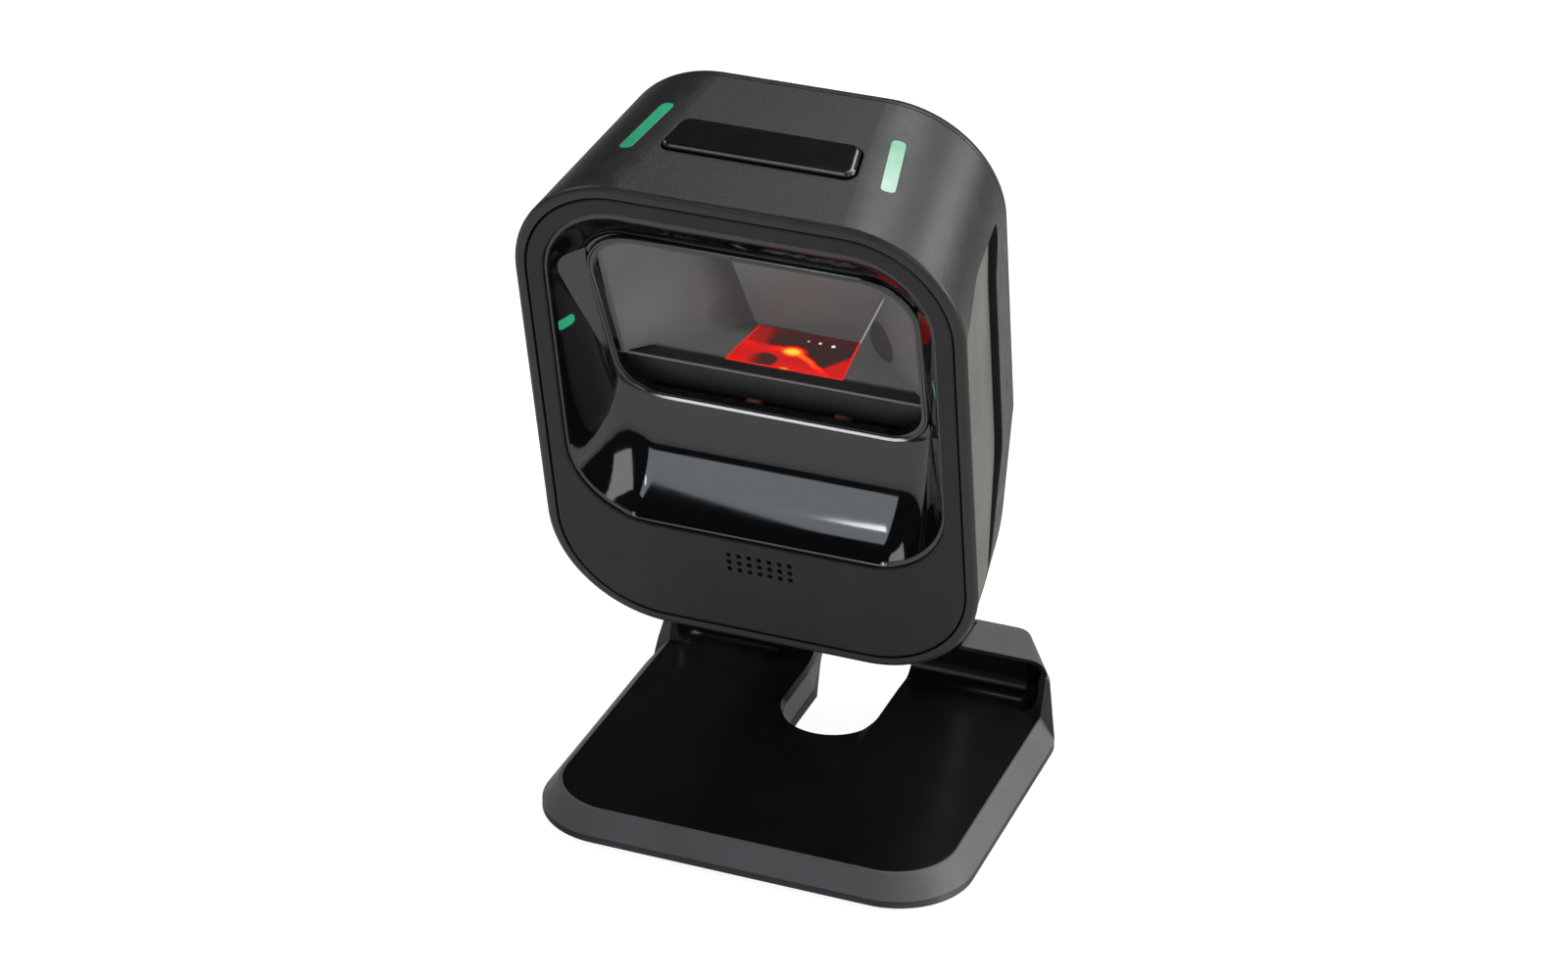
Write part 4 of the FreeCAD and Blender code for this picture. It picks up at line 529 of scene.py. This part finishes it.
FINISHES = {
    shell_plastic: "head_shell rear_cover",
    face_plastic: "face_plate",
    panel_plastic: "side_panel_right side_panel_left",
    base_plastic: "base_cover",
    black_plastic: "base_tray neck neck_back_cover pin_caps hinge_knuckle engine_bracket lens_holder "
                   "lens_barrel interface_jack trigger_switch speaker",
    funnel_plastic: "inner_shroud",
    deck_plastic: "deck_mat",
    gloss_black: "window_frame",
    recess_black: "window_bezel",
    button_black: "trigger_button",
    rubber: "rubber_feet",
    foam: "speaker_gasket speaker_mesh",
    nylon: "board_connectors switch_plunger friction_washers",
    chip: "image_sensor board_chips",
    steel: "rear_cover_screws knuckle_screws base_screws neck_screws hinge_pin spring_washers ballast_plate",
    gold: "jack_contacts",
    mirror: "fold_mirror",
    green_board: "imager_board main_board interface_board top_board",
    window_glass: "scan_window",
    lens_glass: "front_lens",
    lamp_clear: "illumination_leds indicator_leds",
    bar_left: "light_bar_left",
    bar_right: "light_bar_right",
    side_green: "recess_light_left recess_light_right",
    engine_red: "engine_window",
}
for material, names in FINISHES.items():
    for name in names.split():
        node = frame["nodes"][name]
        node.data.materials.clear()
        node.data.materials.append(material)


# ---------------------------------------------------------------- polished edge round the window
def rounded_loop(corners, steps=8):
    """Points round a flat polygon of (a, b, radius) corners, each corner turned into an arc."""
    points = []
    for i, (a, b, radius) in enumerate(corners):
        here = Vector((a, b))
        before = (Vector(corners[i - 1][:2]) - here).normalized()
        after = (Vector(corners[(i + 1) % len(corners)][:2]) - here).normalized()
        half = before.angle(after) / 2
        centre = here + (before + after).normalized() * radius / math.sin(half)
        start = here + before * radius / math.tan(half) - centre
        end = here + after * radius / math.tan(half) - centre
        for k in range(steps + 1):
            share = k / steps
            turn = start.angle_signed(end) * share
            arm = Vector((start.x * math.cos(turn) + start.y * math.sin(turn),
                          start.y * math.cos(turn) - start.x * math.sin(turn)))
            points.append(centre + arm)
    return points


def ring_curve(name, points, radius, material):
    """Closed round wire through the points, on the head."""
    curve = bpy.data.curves.new(name, "CURVE")
    curve.dimensions = "3D"
    curve.bevel_depth = radius
    curve.bevel_resolution = 3
    spline = curve.splines.new("POLY")
    spline.points.add(len(points) - 1)
    for point, place in zip(spline.points, points):
        point.co = (*place, 1)
    spline.use_cyclic_u = True
    ring = bpy.data.objects.new(name, curve)
    bpy.context.scene.collection.objects.link(ring)
    curve.materials.append(material)
    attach(ring, "head")
    return ring


EDGE_INSET, EDGE_LIFT, EDGE_RADIUS = 0.35, 0.2, 0.42
EDGE_LOW_TURN, EDGE_HIGH_TURN = 8.2, 9.8        # corner radii of the window's outline
low_half, high_half = WINDOW_LOW_HALF - EDGE_INSET, WINDOW_HIGH_HALF - EDGE_INSET
outline = rounded_loop([(-low_half, EDGE_INSET, EDGE_LOW_TURN), (low_half, EDGE_INSET, EDGE_LOW_TURN),
                        (high_half, WINDOW_LENGTH - EDGE_INSET, EDGE_HIGH_TURN),
                        (-high_half, WINDOW_LENGTH - EDGE_INSET, EDGE_HIGH_TURN)])
ring_curve("window_edge", [on_window(a, b, -EDGE_LIFT) for a, b in outline], EDGE_RADIUS * MM,
           edge_gloss("window_edge"))


# ---------------------------------------------------------------- floor, lights and camera
FLOOR_HALF, FLOOR_GAP = 6.0, 0.0002
FLOOR_SEEN = 0.9                    # brightness of the floor to the camera
# light that the floor throws onto the object: behind it, and how much more in front
THROWN_BEHIND, THROWN_EXTRA = 0.25, 0.6
THROWN_FROM, THROWN_TO = 60, -60    # mm along Y over which that changes
CAMERA_TURN, CAMERA_LIFT, CAMERA_ROLL = (math.radians(angle) for angle in (20.48, 28.0, 1.045))
CAMERA_AIM = Vector((-0.09, -15.32, 67.64)) * MM
CAMERA_DISTANCE = 741.05 * MM
LENS, SENSOR_WIDTH = 93.94, 36.0


def towards(azimuth, elevation):
    """Unit direction from the object: azimuth 0 is in front, a quarter turn is on the right."""
    level = math.cos(elevation)
    return Vector((math.sin(azimuth) * level, -math.cos(azimuth) * level, math.sin(elevation)))


def aimed(location, target):
    """Matrix of something at location that looks along its own -Z at target."""
    direction = (target - location).to_track_quat("-Z", "Y")
    return Matrix.Translation(location) @ direction.to_matrix().to_4x4()


def softbox(name, azimuth, elevation, distance, width, height, power, colour=(1, 1, 1), target=middle,
            shape="RECTANGLE", roll=0):
    """Area light aimed at the target from a direction in degrees. Roll turns it about its aim."""
    direction = towards(math.radians(azimuth), math.radians(elevation))
    light = bpy.data.lights.new(name, "AREA")
    light.shape = shape
    light.size, light.size_y = width, height
    light.energy = power
    light.color = colour
    lamp = bpy.data.objects.new(name, light)
    bpy.context.scene.collection.objects.link(lamp)
    lamp.matrix_world = (aimed(target + direction * distance, target)
                         @ Matrix.Rotation(math.radians(roll), 4, "Z"))
    return lamp


def make_floor():
    """White floor just under the object."""
    mesh = bpy.data.meshes.new("floor")
    corners = [(x * FLOOR_HALF, y * FLOOR_HALF, 0) for x, y in ((-1, -1), (1, -1), (1, 1), (-1, 1))]
    mesh.from_pydata(corners, [], [(0, 1, 2, 3)])
    floor = bpy.data.objects.new("floor", mesh)
    floor.location.z = low.z - FLOOR_GAP
    bpy.context.scene.collection.objects.link(floor)
    s = Shader("floor_white")
    s.set(Base_Color=(0.2, 0.2, 0.2, 1), Roughness=0.9, Specular_IOR_Level=0.1)
    # the floor itself is white; what it throws onto the object is dimmer behind it than in front
    y = s.along(Vector((0, 0, 0)), Vector((0, 1, 0)))
    extra = s.math("MULTIPLY", s.fade(y, THROWN_FROM, THROWN_TO), THROWN_EXTRA)
    thrown = s.math("ADD", extra, THROWN_BEHIND)
    seen = s.nodes.new("ShaderNodeLightPath").outputs["Is Camera Ray"]
    s.feed("Emission Strength", s.math("MAXIMUM", s.math("MULTIPLY", seen, FLOOR_SEEN), thrown))
    s.set(Emission_Color=(1, 1, 1, 1))
    mesh.materials.append(s.material)


def make_camera():
    """Camera at the angle, distance and lens that the object is seen from."""
    data = bpy.data.cameras.new("camera")
    data.lens = LENS
    data.sensor_width = SENSOR_WIDTH
    data.clip_start, data.clip_end = 0.05, 50.0
    camera = bpy.data.objects.new("camera", data)
    bpy.context.scene.collection.objects.link(camera)
    place = CAMERA_AIM + towards(CAMERA_TURN, CAMERA_LIFT) * CAMERA_DISTANCE
    camera.matrix_world = aimed(place, CAMERA_AIM) @ Matrix.Rotation(CAMERA_ROLL, 4, "Z")
    bpy.context.scene.camera = camera


def make_world():
    """Faint even light from all round."""
    world = bpy.data.worlds.new("studio")
    world.use_nodes = True
    world.node_tree.nodes["Background"].inputs["Color"].default_value = (0.9, 0.92, 0.95, 1)
    world.node_tree.nodes["Background"].inputs["Strength"].default_value = 0.03
    bpy.context.scene.world = world


make_floor()
make_camera()
make_world()
# azimuth, elevation, distance, width, height, power
softbox("overhead", 168, 64, 1.4, 0.9, 0.8, 18)
softbox("shoulder", 133, 30, 1.0, 0.32, 0.32, 6)
softbox("right", 96, 18, 1.0, 0.6, 0.4, 9, (1.0, 0.97, 0.92))
softbox("left", -92, 38, 1.2, 0.8, 0.5, 4)
# what the scoop mirrors: a long softbox, and a small one in front of it for the bright right end
scoop = in_head(3, 7, -20)
softbox("strip", -18.8, 29, 0.9, 0.2, 0.76, 1.5, (0.84, 0.92, 1.0), scoop)
softbox("strip_end", -17.4, 36.3, 0.84, 0.04, 0.15, 0.32, (0.92, 0.95, 1.0), scoop, "ELLIPSE", 36)
softbox("front_right", 38, 30, 1.0, 0.45, 0.6, 3.1)
bpy.context.scene.view_settings.view_transform = "Standard"
